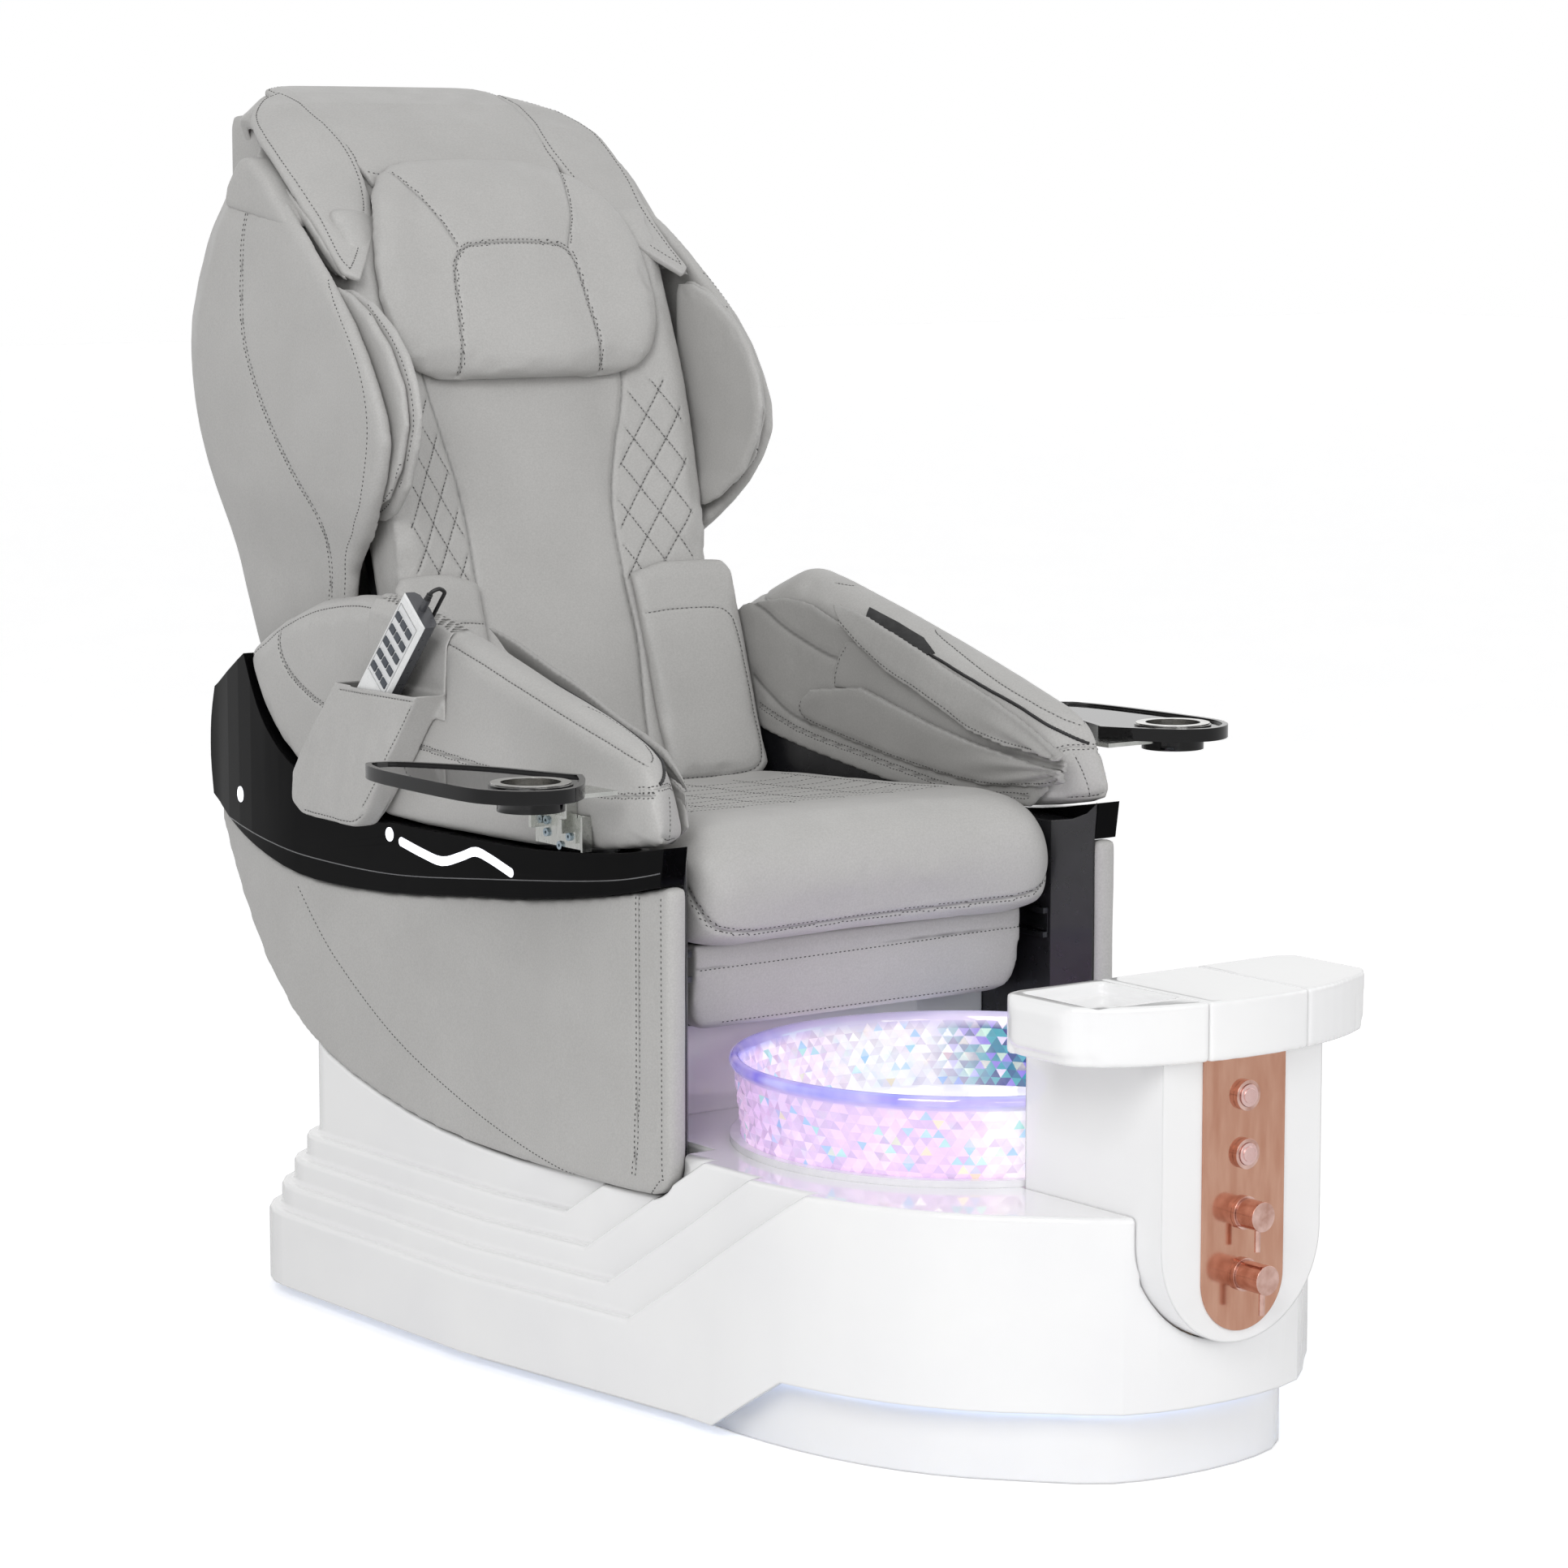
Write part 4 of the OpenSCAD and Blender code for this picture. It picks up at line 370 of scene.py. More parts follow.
def smoothed(mesh, times):
    # Moves each point halfway to the mean of its neighbours.
    edges = np.empty(len(mesh.edges) * 2, int)
    mesh.edges.foreach_get("vertices", edges)
    a, b = edges.reshape(-1, 2).T
    points = coords(mesh)
    count = np.bincount(np.concatenate([a, b]), minlength=len(points))[:, None]
    for _ in range(times):
        total = np.zeros_like(points)
        for axis in range(3):
            total[:, axis] = (np.bincount(a, points[b, axis], len(points))
                              + np.bincount(b, points[a, axis], len(points)))
        points = points + 0.5 * (total / count - points)
    setCoords(mesh, points)


def looseParts(mesh):
    # Points and faces of each solid in a CAD mesh, with its loose triangles merged.
    build = bmesh.new()
    build.from_mesh(mesh)
    bmesh.ops.remove_doubles(build, verts=build.verts, dist=1e-6)
    build.verts.index_update()
    build.faces.ensure_lookup_table()
    group = list(range(len(build.verts)))

    def root(i):
        while group[i] != i:
            group[i] = group[group[i]]
            i = group[i]
        return i

    for edge in build.edges:
        group[root(edge.verts[0].index)] = root(edge.verts[1].index)
    points = [v.co.copy() for v in build.verts]
    parts = {}
    for face in build.faces:
        parts.setdefault(root(face.verts[0].index), []).append([v.index for v in face.verts])
    build.free()
    made = []
    for faces in parts.values():
        used = sorted({i for f in faces for i in f})
        number = {i: k for k, i in enumerate(used)}
        made.append(([points[i] for i in used], [[number[i] for i in f] for f in faces]))
    return made


nodeTrees = {}


def nodeTree(node):
    if node not in nodeTrees:
        nodeTrees[node] = meshTree(frame["nodes"][node].data)
    return nodeTrees[node]


def roomOutwards(mesh, skip, reach, gap=0.4 * mm):
    # How far each point may move out before it comes within a gap of another node.
    points, out = coords(mesh), normals(mesh)
    low, high = points.min(0) - reach, points.max(0) + reach
    room = np.full(len(points), reach)
    for node in frame["nodes"]:
        a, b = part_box(node)
        if node in skip or any(a[k] > high[k] or b[k] < low[k] for k in range(3)):
            continue
        tree = nodeTree(node)
        near = np.where(np.all((points > np.array(a) - 2 * reach) & (points < np.array(b) + 2 * reach), axis=1))[0]
        for i in near:
            hit = tree.ray_cast(Vector(points[i] - out[i] * 0.001), Vector(out[i]), reach * 2 + 0.002)
            if hit[0] is not None:
                room[i] = min(room[i], max(0, hit[3] - 0.001 - gap))
    return room


puffing = {"frames": 20, "quality": 4, "stiffness": 25}


def puffed(made, skip, pressure, cap):
    # Blows a piece up as cloth under pressure, by no more than the cap or the room that it has.
    start = coords(made.data).copy()
    room = roomOutwards(made.data, skip, cap)
    cloth = made.modifiers.new("cloth", "CLOTH")
    cloth.settings.use_pressure = True
    cloth.settings.uniform_pressure_force = pressure
    cloth.settings.effector_weights.gravity = 0
    cloth.settings.quality = puffing["quality"]
    cloth.settings.tension_stiffness = puffing["stiffness"]
    cloth.settings.compression_stiffness = puffing["stiffness"]
    for step in range(1, puffing["frames"] + 1):
        scene.frame_set(step)
    moved = coords(evaluated(made))
    made.modifiers.clear()
    scene.frame_set(1)
    move = moved - start
    far = np.linalg.norm(move, axis=1)
    scale = np.minimum(1, room / np.maximum(far, 1e-9))
    setCoords(made.data, start + move * scale[:, None])


def remeshed(name, source, voxel):
    points, faces = source
    mesh = bpy.data.meshes.new(name)
    mesh.from_pydata([tuple(p) for p in points], [], faces)
    made = bpy.data.objects.new(name, mesh)
    scene.collection.objects.link(made)
    change = made.modifiers.new("remesh", "REMESH")
    change.mode = "VOXEL"
    change.voxel_size = voxel * mm
    change.adaptivity = 0
    applied(made)
    return made


def slab(outline, axis, low, high, voxel, soften):
    # A flat outline in mm, in the plane across X or Z, extruded between two places, remeshed and softened.
    build = bmesh.new()
    if axis == "x":
        build.faces.new([build.verts.new((low * mm, u * mm, v * mm)) for u, v in outline])
    else:
        build.faces.new([build.verts.new((u * mm, v * mm, low * mm)) for u, v in outline])
    made = bmesh.ops.extrude_face_region(build, geom=build.faces[:])
    way = ((high - low) * mm, 0, 0) if axis == "x" else (0, 0, (high - low) * mm)
    bmesh.ops.translate(build, verts=[g for g in made["geom"] if isinstance(g, bmesh.types.BMVert)], vec=way)
    bmesh.ops.recalc_face_normals(build, faces=build.faces)
    mesh = meshFrom(build, "slab")
    part = remeshed("slab", ([v.co.copy() for v in mesh.vertices], [list(p.vertices) for p in mesh.polygons]), voxel)
    smoothed(part.data, soften)
    return part


def joined(parts):
    # Points and faces of several objects together; the objects go.
    points, faces = [], []
    for made in parts:
        start = len(points)
        points += [v.co.copy() for v in made.data.vertices]
        faces += [[start + i for i in p.vertices] for p in made.data.polygons]
        bpy.data.objects.remove(made)
    return points, faces


def uneven(mesh, size, depth, seed):
    # Slow hollows and swellings, as stuffed leather has.
    points, out = coords(mesh), normals(mesh)
    move = np.array([noise.noise(Vector(p) * (1000 / size) + Vector((seed, 0, 0))) for p in points])
    setCoords(mesh, points + out * (np.minimum(move, 0.0) * depth * mm)[:, None])


def spaced(points, step):
    # Points at even steps along a polyline rounded by Catmull-Rom pieces.
    p = [np.array(q, float) for q in points]
    fine = []
    for i in range(len(p) - 1):
        a, b, c, d = p[max(0, i - 1)], p[i], p[i + 1], p[min(len(p) - 1, i + 2)]
        for k in range(12):
            t = k / 12
            fine.append(0.5 * (2 * b + (c - a) * t + (2 * a - 5 * b + 4 * c - d) * t * t
                               + (3 * b - a - 3 * c + d) * t ** 3))
    fine.append(p[-1])
    fine = np.array(fine)
    run = np.concatenate([[0], np.cumsum(np.linalg.norm(np.diff(fine, axis=0), axis=1))])
    count = max(2, int(run[-1] / step) + 1)
    at = np.linspace(0, run[-1], count)
    return np.stack([np.interp(at, run, fine[:, k]) for k in range(fine.shape[1])], axis=1)


def onSurface(tree, flat, plane, side):
    # Points of a flat seam line, in mm, thrown along the axis of their plane on to the piece.
    found = []
    for u, v in flat:
        if plane == "x":
            start, way = Vector((side * 0.7, u * mm, v * mm)), Vector((-side, 0, 0))
        elif plane == "inner":
            start, way = Vector((side * 0.1, u * mm, v * mm)), Vector((side, 0, 0))
        elif plane == "y":
            start, way = Vector((u * mm, side * 1.5, v * mm)), Vector((0, -side, 0))
        else:
            start, way = Vector((u * mm, v * mm, 2.0 * side)), Vector((0, 0, -side))
        hit = tree.ray_cast(start, way)
        found.append(None if hit[0] is None else (hit[0], hit[1]))
    return found


def runs(found, jump=0.012):
    # Parts of a thrown line that hold together.
    run, last = [], None
    for item in found:
        if item is None or (last is not None and (item[0] - last).length > jump):
            if len(run) > 3:
                yield run
            run = []
        if item is not None:
            run.append(item)
        last = item[0] if item is not None else None
    if len(run) > 3:
        yield run


def lineTree(points):
    # Finds how far a place is from a line of points.
    tree = KDTree(len(points))
    for k, point in enumerate(points):
        tree.insert(point, k)
    tree.balance()
    return tree


doubleRow = (-3.2, 3.2)  # mm to each side of a seam
stitch = {"length": 3.3 * mm, "width": 1.4 * mm, "height": 1.0 * mm, "pitch": 5.0 * mm}


def stitchRow(run, tree, offset, points, faces):
    # Adds the stitches of one row, each with five faces, beside a thrown line.
    length, width, height = stitch["length"], stitch["width"], stitch["height"]
    walked = 0
    for k in range(1, len(run) - 1):
        here, normal = run[k]
        along = run[k + 1][0] - run[k - 1][0]
        walked += (run[k + 1][0] - here).length
        if walked < stitch["pitch"] or along.length < 1e-6:
            continue
        walked = 0
        along.normalize()
        place = here + along.cross(normal).normalized() * offset
        near = tree.find_nearest(place)
        if near[0] is None or (near[0] - place).length > 0.004:
            continue
        up = near[1]
        across = along.cross(up).normalized()
        start = len(points)
        for a, b, c in ((-1, -1, 0), (-1, 1, 0), (1, 1, 0), (1, -1, 0), (-0.6, -0.6, 1), (-0.6, 0.6, 1),
                        (0.6, 0.6, 1), (0.6, -0.6, 1)):
            points.append(near[0] + along * a * length / 2 + across * b * width / 2
                          + up * (c * height - height * 0.4))
        faces += [[start + i for i in f]
                  for f in ((4, 5, 6, 7), (0, 1, 5, 4), (1, 2, 6, 5), (2, 3, 7, 6), (3, 0, 4, 7))]


def sewn(made, seams, body, slot):
    # Presses each seam line into the piece and lays its rows of stitches on it. A seam has a line in mm, the plane
    # and side that it is thrown from, its width and depth, and the offset of each row.
    mesh = made.data
    first = meshTree(mesh)
    marks = []
    for seam in seams:
        flat = spaced(seam["line"], 1.6)
        for run in runs(onSurface(first, flat, seam["plane"], seam["side"])):
            marks.append((seam, run))
    points, out = coords(mesh), normals(mesh)
    press = np.zeros(len(points))
    dark = np.zeros(len(points))
    for seam, run in marks:
        width, depth = seam.get("width", 3.0) * mm, seam.get("depth", 1.6) * mm
        if depth == 0:
            continue
        line = lineTree([p for p, n in run])
        low = np.min([p for p, n in run], axis=0) - 3 * width
        high = np.max([p for p, n in run], axis=0) + 3 * width
        inside = np.where(np.all((points > low) & (points < high), axis=1))[0]
        for i in inside:
            away = line.find(Vector(points[i]))[2]
            share = math.exp(-(away / width) ** 2)
            press[i] = max(press[i], depth * share)
            dark[i] = max(dark[i], math.exp(-(away / (0.55 * width)) ** 2))
    setCoords(mesh, points - out * press[:, None])
    # the seam mask, which sets the leather's painted shade along each seam groove
    layer = mesh.attributes.new("seam", "FLOAT", "POINT")
    layer.data.foreach_set("value", dark)
    tree = meshTree(mesh)
    stitchPoints, stitchFaces = [], []
    for seam, run in marks:
        onNow = []
        for p, n in run:
            near = tree.find_nearest(p)
            onNow.append((near[0], near[1]))
        for offset in seam.get("rows", (0,)):
            stitchRow(onNow, tree, offset * mm, stitchPoints, stitchFaces)
    if stitchFaces:
        newPiece(made.name + "_stitches", stitchPoints, stitchFaces, slot, body, threadGrey)


def upholstered(name, node, body, look, seams=()):
    # A soft piece from the form of its CAD node: remeshed, puffed, evened and sewn.
    parts = []
    for k, source in enumerate(looseParts(frame["nodes"][node].data)):
        part = remeshed(name + str(k), source, look["voxel"])
        smoothed(part.data, look.get("soften", 5))
        if look.get("pressure"):
            puffed(part, {node}, look["pressure"], look["cap"] * mm)
            smoothed(part.data, 2)
        parts.append(part)
    points, faces = joined(parts)
    made = newPiece(name, points, faces, slotOf[node], body)
    if look.get("subdivide"):
        made.modifiers.new("finer", "SUBSURF").levels = 1
        applied(made)
    if look.get("shape"):
        setCoords(made.data, look["shape"](made.data))
    uneven(made.data, look.get("hollow", 90), look.get("depth", 1.2), len(name))
    sewn(made, seams, body, slotOf[node])
    for face in made.data.polygons:
        face.use_smooth = True
    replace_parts(made, node)
    print(name, len(made.data.polygons), "faces")
    return made


# Handset cord, in the handset's own mm: over from its head and down behind it
cord = {"radius": 2.45 * mm, "tilt": math.radians(42), "step": 0.0012, "relief": 3.6 * mm}
cordLocal = ([(366, 0, 18), (366, 0, 26), (365, 0, 30), (362, 0, 33), (357, 0, 35), (352, 0, 33), (348, 0, 30)]
             + [(346, 0, z) for z in (26, 12, 0, -20, -40, -60, -80, -100, -120)]
             + [(346, -1, -140), (346, -2, -160), (346, -3, -180)])


def handsetPoint(x, y, z):
    lean, rise = math.sin(cord["tilt"]), math.cos(cord["tilt"])
    return Vector((-x, 304 + y * rise - z * lean, 878 + y * lean + z * rise)) * mm


cordPath = [handsetPoint(*p) for p in cordLocal]


def tube(points, radius, sides=12, ribs=0.0, ribPitch=0.004):
    # A closed tube along points, with waves in its radius where ribs are asked for.
    vertices, faces = [], []
    walked = 0
    for i, p in enumerate(points):
        way = (points[min(len(points) - 1, i + 1)] - points[max(0, i - 1)]).normalized()
        across = way.cross(Vector((0, 1, 0.2))).normalized()
        up = way.cross(across)
        if i:
            walked += (p - points[i - 1]).length
        r = radius + ribs * math.sin(2 * math.pi * walked / ribPitch)
        for k in range(sides):
            a = 2 * math.pi * k / sides
            vertices.append(p + r * (math.cos(a) * across + math.sin(a) * up))
    for i in range(len(points) - 1):
        for k in range(sides):
            a, b = i * sides + k, i * sides + (k + 1) % sides
            faces.append((a, b, b + sides, a + sides))
    faces.append(tuple(range(sides))[::-1])
    faces.append(tuple(range((len(points) - 1) * sides, len(points) * sides)))
    return vertices, faces


cordFine = [Vector(p) for p in spaced(cordPath, cord["step"])]
vertices, faces = tube(cordFine, cord["radius"])
cordPiece = newPiece("handset_cord_tube", vertices, faces, "cord_black", "handset_unit")
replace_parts(cordPiece, "handset_cord")
cordLength = sum((b - a).length for a, b in zip(cordFine, cordFine[1:]))
tuple(cordPath[0])
[tuple(p) for p in cordPath]

# ribbed strain relief over the first part of the cord
reliefLine = [handsetPoint(366, 0, z / 2) for z in range(28, 53)]
vertices, faces = tube(reliefLine, cord["relief"], 16, 0.45 * mm, 0.0035)
newPiece("strain_relief", vertices, faces, "cord_black", "handset_unit")
print("cord done")

# Arms: seams are (Y, Z) lines in mm on the sides, and (X, Z) lines on the front
armOutside = [
    dict(plane="x", side=-1, width=3.5, depth=1.8, rows=doubleRow, line=[
        (691, 822), (672, 787), (628, 758), (565, 737), (473, 722), (364, 711), (283, 704), (188, 697), (88, 692),
        (-17, 691), (-97, 698), (-168, 706)]),
    dict(plane="x", side=-1, depth=0, line=[(-137, 722), (-138, 700), (-140, 660)]),
]
armInside = [
    dict(width=2.5, depth=1.2, line=[
        (367, 872), (298, 862), (216, 837), (119, 805), (24, 773), (-68, 742), (-112, 720), (-128, 692), (-130, 665),
        (-122, 650), (-99, 646)]),
    dict(width=3, depth=2.2, rows=doubleRow, line=[
        (482, 715), (399, 692), (270, 674), (122, 655), (39, 648), (-60, 650)]),
    dict(width=5, depth=3.2, rows=(), line=[(520, 850), (479, 837), (418, 810), (333, 786), (249, 776)]),
    dict(width=5, depth=3, rows=(), line=[(500, 745), (479, 732), (427, 705), (375, 691)]),
]

ridgeLine = {
    1: [(-120, 712), (-102, 735), (-73, 749), (43, 783), (143, 812), (257, 844), (389, 877), (430, 883), (497, 856),
        (577, 818), (650, 798), (720, 784), (765, 774)],
    -1: [(-120, 710), (-102, 732), (-73, 746), (43, 777), (143, 804), (257, 835), (389, 865), (450, 873), (520, 874),
         (609, 860), (694, 831), (750, 804), (770, 790)],
}
armFront = [
    dict(plane="y", side=-1, width=2.5, depth=1.2, rows=doubleRow, line=[
        (280, 700), (294, 706), (325, 706), (334, 703)]),
    dict(plane="y", side=-1, width=2, depth=0.6, line=[(297, 698), (303, 674), (309, 646)]),
]
armTops = []
armLook = dict(voxel=5, soften=7, pressure=2.2, cap=3, subdivide=True, depth=1.6, hollow=120)
for side, name, node in ((1, "arm_top_left", "arm_cushion_left"), (-1, "arm_top_right", "arm_cushion_right")):
    seams = [dict(s, side=side) for s in armOutside] + [dict(s, side=side, plane="inner") for s in armInside]
    seams += [dict(s, line=[(side * x, z) for x, z in s["line"]]) for s in armFront]
    seams.append(dict(plane="x", side=side, width=2.5, depth=1.0, line=[
        (y, z - 9) for y, z in ridgeLine[side]]))
    armTops.append(upholstered(name, node, "base", armLook, seams))

sidePanelSeams = [
    dict(plane="x", side=-1, width=3, depth=1.5, rows=(-3.4, 3.4), line=[
        (-84, 590), (-84, 403), (-79, 300), (-74, 262)]),
    dict(plane="x", side=-1, depth=0, line=[
        (-128, 590), (-128, 300), (-122, 262), (-60, 230), (80, 246), (250, 285), (420, 345), (560, 425), (650, 505)]),
]
panelLook = dict(voxel=5, soften=5, depth=1.6, hollow=140, fill=0.5)
for side, name, node in ((1, "side_skin_left", "side_panel_left"), (-1, "side_skin_right", "side_panel_right")):
    upholstered(name, node, "base", panelLook, [dict(s, side=side) for s in sidePanelSeams])

liningOutline = [(560, 812), (523, 835), (479, 843), (430, 850), (380, 846), (300, 820), (200, 790), (100, 755),
                 (0, 722), (-50, 700), (-86, 684), (-92, 655), (-60, 632), (39, 624), (128, 628), (234, 637),
                 (376, 656), (457, 670), (510, 682), (560, 700)]
liningSeams = [
    dict(width=3, depth=1.2, rows=doubleRow, line=[
        (490, 708), (399, 682), (270, 664), (122, 645), (39, 640), (-60, 646)]),
    dict(width=6, depth=1.6, rows=(), line=[(520, 842), (479, 832), (418, 806), (333, 782), (249, 772)]),
    dict(width=6, depth=1.6, rows=(), line=[(500, 745), (479, 732), (427, 705), (375, 691)]),
]


def liningPart(side):
    # Leather lining over the lower part of an arm's inner moulding.
    part = slab(liningOutline, "x", *sorted((side * 266.6, side * 260.6)), 3.5, 3)
    for v in part.data.vertices:
        y, z = v.co.y / mm, v.co.z / mm
        wave = 2.2 * noise.noise(Vector((y / 60, z / 45, 7))) + 1.2 * noise.noise(Vector((y / 22, z / 30, 3)))
        if abs(v.co.x) < 0.264:
            v.co.x += side * max(-1.0, wave) * 0.6 * mm
    return part


points, faces = joined([liningPart(1), liningPart(-1)])
lining = newPiece("arm_lining", points, faces, "leather_grey_dark", "base")
sewn(lining, [dict(seam, plane="inner", side=side) for side in (-1, 1) for seam in liningSeams], "base",
     "leather_grey_dark")

armLeaves = [  # outline, middle of its thickness at the upper and the lower edge, thickness
    dict(outline=[(299, 807), (258, 800), (184, 778), (103, 753), (40, 730), (-30, 712), (-83, 705), (-126, 694),
                  (-128, 680), (-83, 676), (24, 688), (119, 704), (184, 720), (249, 738), (326, 744), (325, 766),
                  (314, 790)], upper=262.5, lower=262.0, thick=6, puff=1.5),
    dict(outline=[(325, 851), (274, 842), (200, 819), (136, 799), (72, 776), (2, 754), (-52, 734), (-105, 712),
                  (-128, 702), (-128, 694), (-83, 701), (-30, 704), (40, 716), (87, 735), (143, 755), (200, 773),
                  (258, 801), (300, 825)], upper=261.5, lower=247.0, thick=6, puff=2.2),
    dict(outline=[(359, 739), (258, 750), (184, 733), (119, 718), (24, 701), (-83, 688), (-128, 684), (-128, 668),
                  (-83, 659), (24, 650), (159, 660), (283, 678), (376, 694), (389, 709), (380, 724)],
         upper=250.0, lower=260.0, thick=7, puff=2.4),
]
gather = {"y": -150, "z": 686, "reach": 250, "depth": 4.2, "folds": 38}  # folds run out from the front corner
flatEnd = {"start": -40, "run": 88, "flat": 0.8, "back": 0.45}  # of the leaves behind the handset arm


def leafParts(side):
    # The folded leather leaves on one arm's inner side.
    parts = []
    for leaf in armLeaves:
        part = slab(leaf["outline"], "x", 0, leaf["thick"], 3, 2)
        rim = spaced(leaf["outline"] + leaf["outline"][:1], 4)
        edge = lineTree([(0, y * mm, z * mm) for y, z in rim])
        for v in part.data.vertices:
            y, z = v.co.y / mm, v.co.z / mm
            inside = min(1, edge.find((0, v.co.y, v.co.z))[2] / (12 * mm))
            t = v.co.x / mm - leaf["thick"] / 2
            swell = t * (1 + leaf["puff"] * 0.35 * math.sqrt(inside))
            # how far down the leaf this point is, between its edges at this Y
            column = [q for q in rim if abs(q[0] - y) < 6]
            low, high = min(q[1] for q in column), max(q[1] for q in column)
            down = (high - z) / max(1, high - low)
            away = math.hypot(y - gather["y"], z - gather["z"])
            angle = math.atan2(z - gather["z"], y - gather["y"])
            fold = (gather["depth"] * max(0, 1 - away / gather["reach"]) ** 1.3
                    * math.sin(angle * gather["folds"] + y * 0.01))
            slow = 1.6 * noise.noise(Vector((y / 70, z / 40, leaf["upper"])))
            middle = leaf["upper"] + (leaf["lower"] - leaf["upper"]) * min(1, max(0, down))
            out = min(266.2, middle + swell + fold * min(1, inside * 2) + slow)
            ahead = max(0, flatEnd["start"] - y) if side < 0 else 0
            v.co.x = side * (out + (266.0 - out) * min(1, ahead / flatEnd["run"]) * flatEnd["flat"]) * mm
            v.co.y = (y + flatEnd["back"] * ahead) * mm
        part.data.update()
        if side < 0:
            part.data.flip_normals()
        parts.append(part)
    return parts


leafSeamLines = [
    [(325, 845), (258, 806), (200, 779), (143, 761), (87, 741), (40, 722), (-30, 710), (-83, 706)],
    [(366, 737), (379, 722), (383, 709), (372, 699), (283, 683), (159, 665), (24, 655), (-83, 664), (-120, 671)],
    [(296, 800), (310, 784), (320, 763), (323, 748)],
]
leafSeams = [dict(plane="inner", side=side, width=1.8, depth=0.7, line=line)
             for side in (-1, 1) for line in leafSeamLines]
points, faces = joined(leafParts(1) + leafParts(-1))
armLeavesPiece = newPiece("arm_leaves", points, faces, "leather_grey_dark", "base")
sewn(armLeavesPiece, leafSeams, "base", "leather_grey_dark")
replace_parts(armLeavesPiece, "arm_airbags")


hookStrip = {
    "outline": [(284, 847), (230, 833), (175, 817), (143, 801), (158, 797), (200, 809), (253, 826), (278, 834)],
    "lift": 1.6, "thick": 1.2,
    "drop": 18,  # it sits lower behind the handset arm, below that arm's flatter ridge
}


def sewnStrip(name, side, target):
    # A strip of hook tape that follows the inner face of an arm top.
    tree = meshTree(target.data)
    drop = 0 if side > 0 else hookStrip["drop"]
    outline = [(y, z - drop) for y, z in hookStrip["outline"]]
    build = bmesh.new()
    build.faces.new([build.verts.new((0, y * mm, z * mm)) for y, z in outline])
    for way, start, step in ((Vector((0, 1, 0)), 5, 7), (Vector((0, 0, 1)), 3, 5)):
        places = [Vector((0, y, z)).dot(way) for y, z in outline]
        for place in range(int(min(places)) + start, int(max(places)), step):
            bmesh.ops.bisect_plane(build, geom=build.verts[:] + build.edges[:] + build.faces[:],
                                   plane_co=way * (place * mm), plane_no=way)
    for v in build.verts:
        hit = tree.ray_cast(Vector((side * 0.1, v.co.y, v.co.z)), Vector((side, 0, 0)))
        v.co.x = hit[0].x - side * hookStrip["lift"] * mm if hit[0] is not None else side * 0.266
    bmesh.ops.recalc_face_normals(build, faces=build.faces)
    bmesh.ops.solidify(build, geom=build.faces[:], thickness=hookStrip["thick"] * mm)
    addPiece(name, meshFrom(build, name), "cord_black", "base", dullBlack)


zipLine = [(150, 799), (61, 773), (-17, 750), (-78, 726), (-120, 703)]
for side, armTop in ((1, armTops[0]), (-1, armTops[1])):
    word = "left" if side > 0 else "right"
    sewnStrip("hook_strip_" + word, side, armTop)
    tree = meshTree(armTop.data)
    line = []
    for y, z in spaced(zipLine, 1.5):
        hit = tree.ray_cast(Vector((side * 0.1, y * mm, z * mm)), Vector((side, 0, 0)))
        if hit[0] is not None:
            line.append(hit[0] - Vector((side * 1.2 * mm, 0, 0)))
    vertices, faces = tube(line, 2.0 * mm, 8, 0.35 * mm, 0.003)
    newPiece("zip_" + word, vertices, faces, "cord_black", "base", dullBlack)
print("arms done")

# Seat: quilted top, seamed front edge
seatSeams = [
    dict(plane="y", side=-1, width=4, depth=3, rows=(4, -4), line=[
        (-262, 600), (-258, 566), (-240, 541), (-205, 533), (-150, 531), (0, 533), (150, 535), (205, 537),
        (240, 545), (258, 568), (262, 600)]),
]
for y in (20, 60, 100, 140, 180, 220, 260, 300):
    seatSeams.append(dict(plane="z", side=1, width=2.5, depth=0.8,
                          line=[(-185, y), (-90, y + 6), (0, y + 8), (90, y + 6), (185, y)]))
for x in (-185, -110, -37, 37, 110, 185):
    seatSeams.append(dict(plane="z", side=1, width=2.5, depth=0.9, line=[(x, 8), (x, 160), (x, 340)]))
upholstered("seat_pad", "seat_cushion", "seat",
            dict(voxel=6, soften=6, pressure=3, cap=3, subdivide=True, depth=1.5, hollow=130), seatSeams)
upholstered("calf_skin", "calf_panel", "seat", dict(voxel=5, soften=4, depth=1.2), [
    dict(plane="y", side=-1, width=2.5, depth=1.2, rows=(3,), line=[(-238, 488), (0, 491), (238, 494)]),
    dict(plane="y", side=-1, depth=0, line=[(-200, 421), (0, 421), (200, 421)])])

# Back: the quilting's diamonds lie between the centre seams and the edges
diamonds = []
for side in (-1, 1):
    for k in range(-4, 8):
        for lean in (1, -1):
            line = []
            for step in range(41):
                u = 112 + step * 3.4
                z = 800 + k * 62 + (step * 3.4) * 1.55 * lean
                if 838 < z < 1128 and u < 214 + 0.02 * (z - 900):
                    inner = 113 if z < 960 else 113 + 34 * min(1, (z - 960) / 150)
                    if u > inner + 4:
                        line.append((side * u, z))
            if len(line) > 5:
                diamonds.append(dict(plane="y", side=-1, width=3, depth=1.6,
                                     line=line[::4] + [line[-1]]))
centreSeams = [dict(plane="y", side=-1, width=4.5, depth=4, rows=(), line=[
    (s * u, z) for u, z in ((98, 640), (108, 720), (115, 802), (112, 884), (112, 951), (120, 1010), (136, 1070),
                            (147, 1115), (150, 1150))]) for s in (-1, 1)]
upholstered("back_pad", "back_cushion", "backrest",
            dict(voxel=5.5, soften=5, pressure=2, cap=2.5, subdivide=True, depth=1.4, hollow=120),
            centreSeams + diamonds)

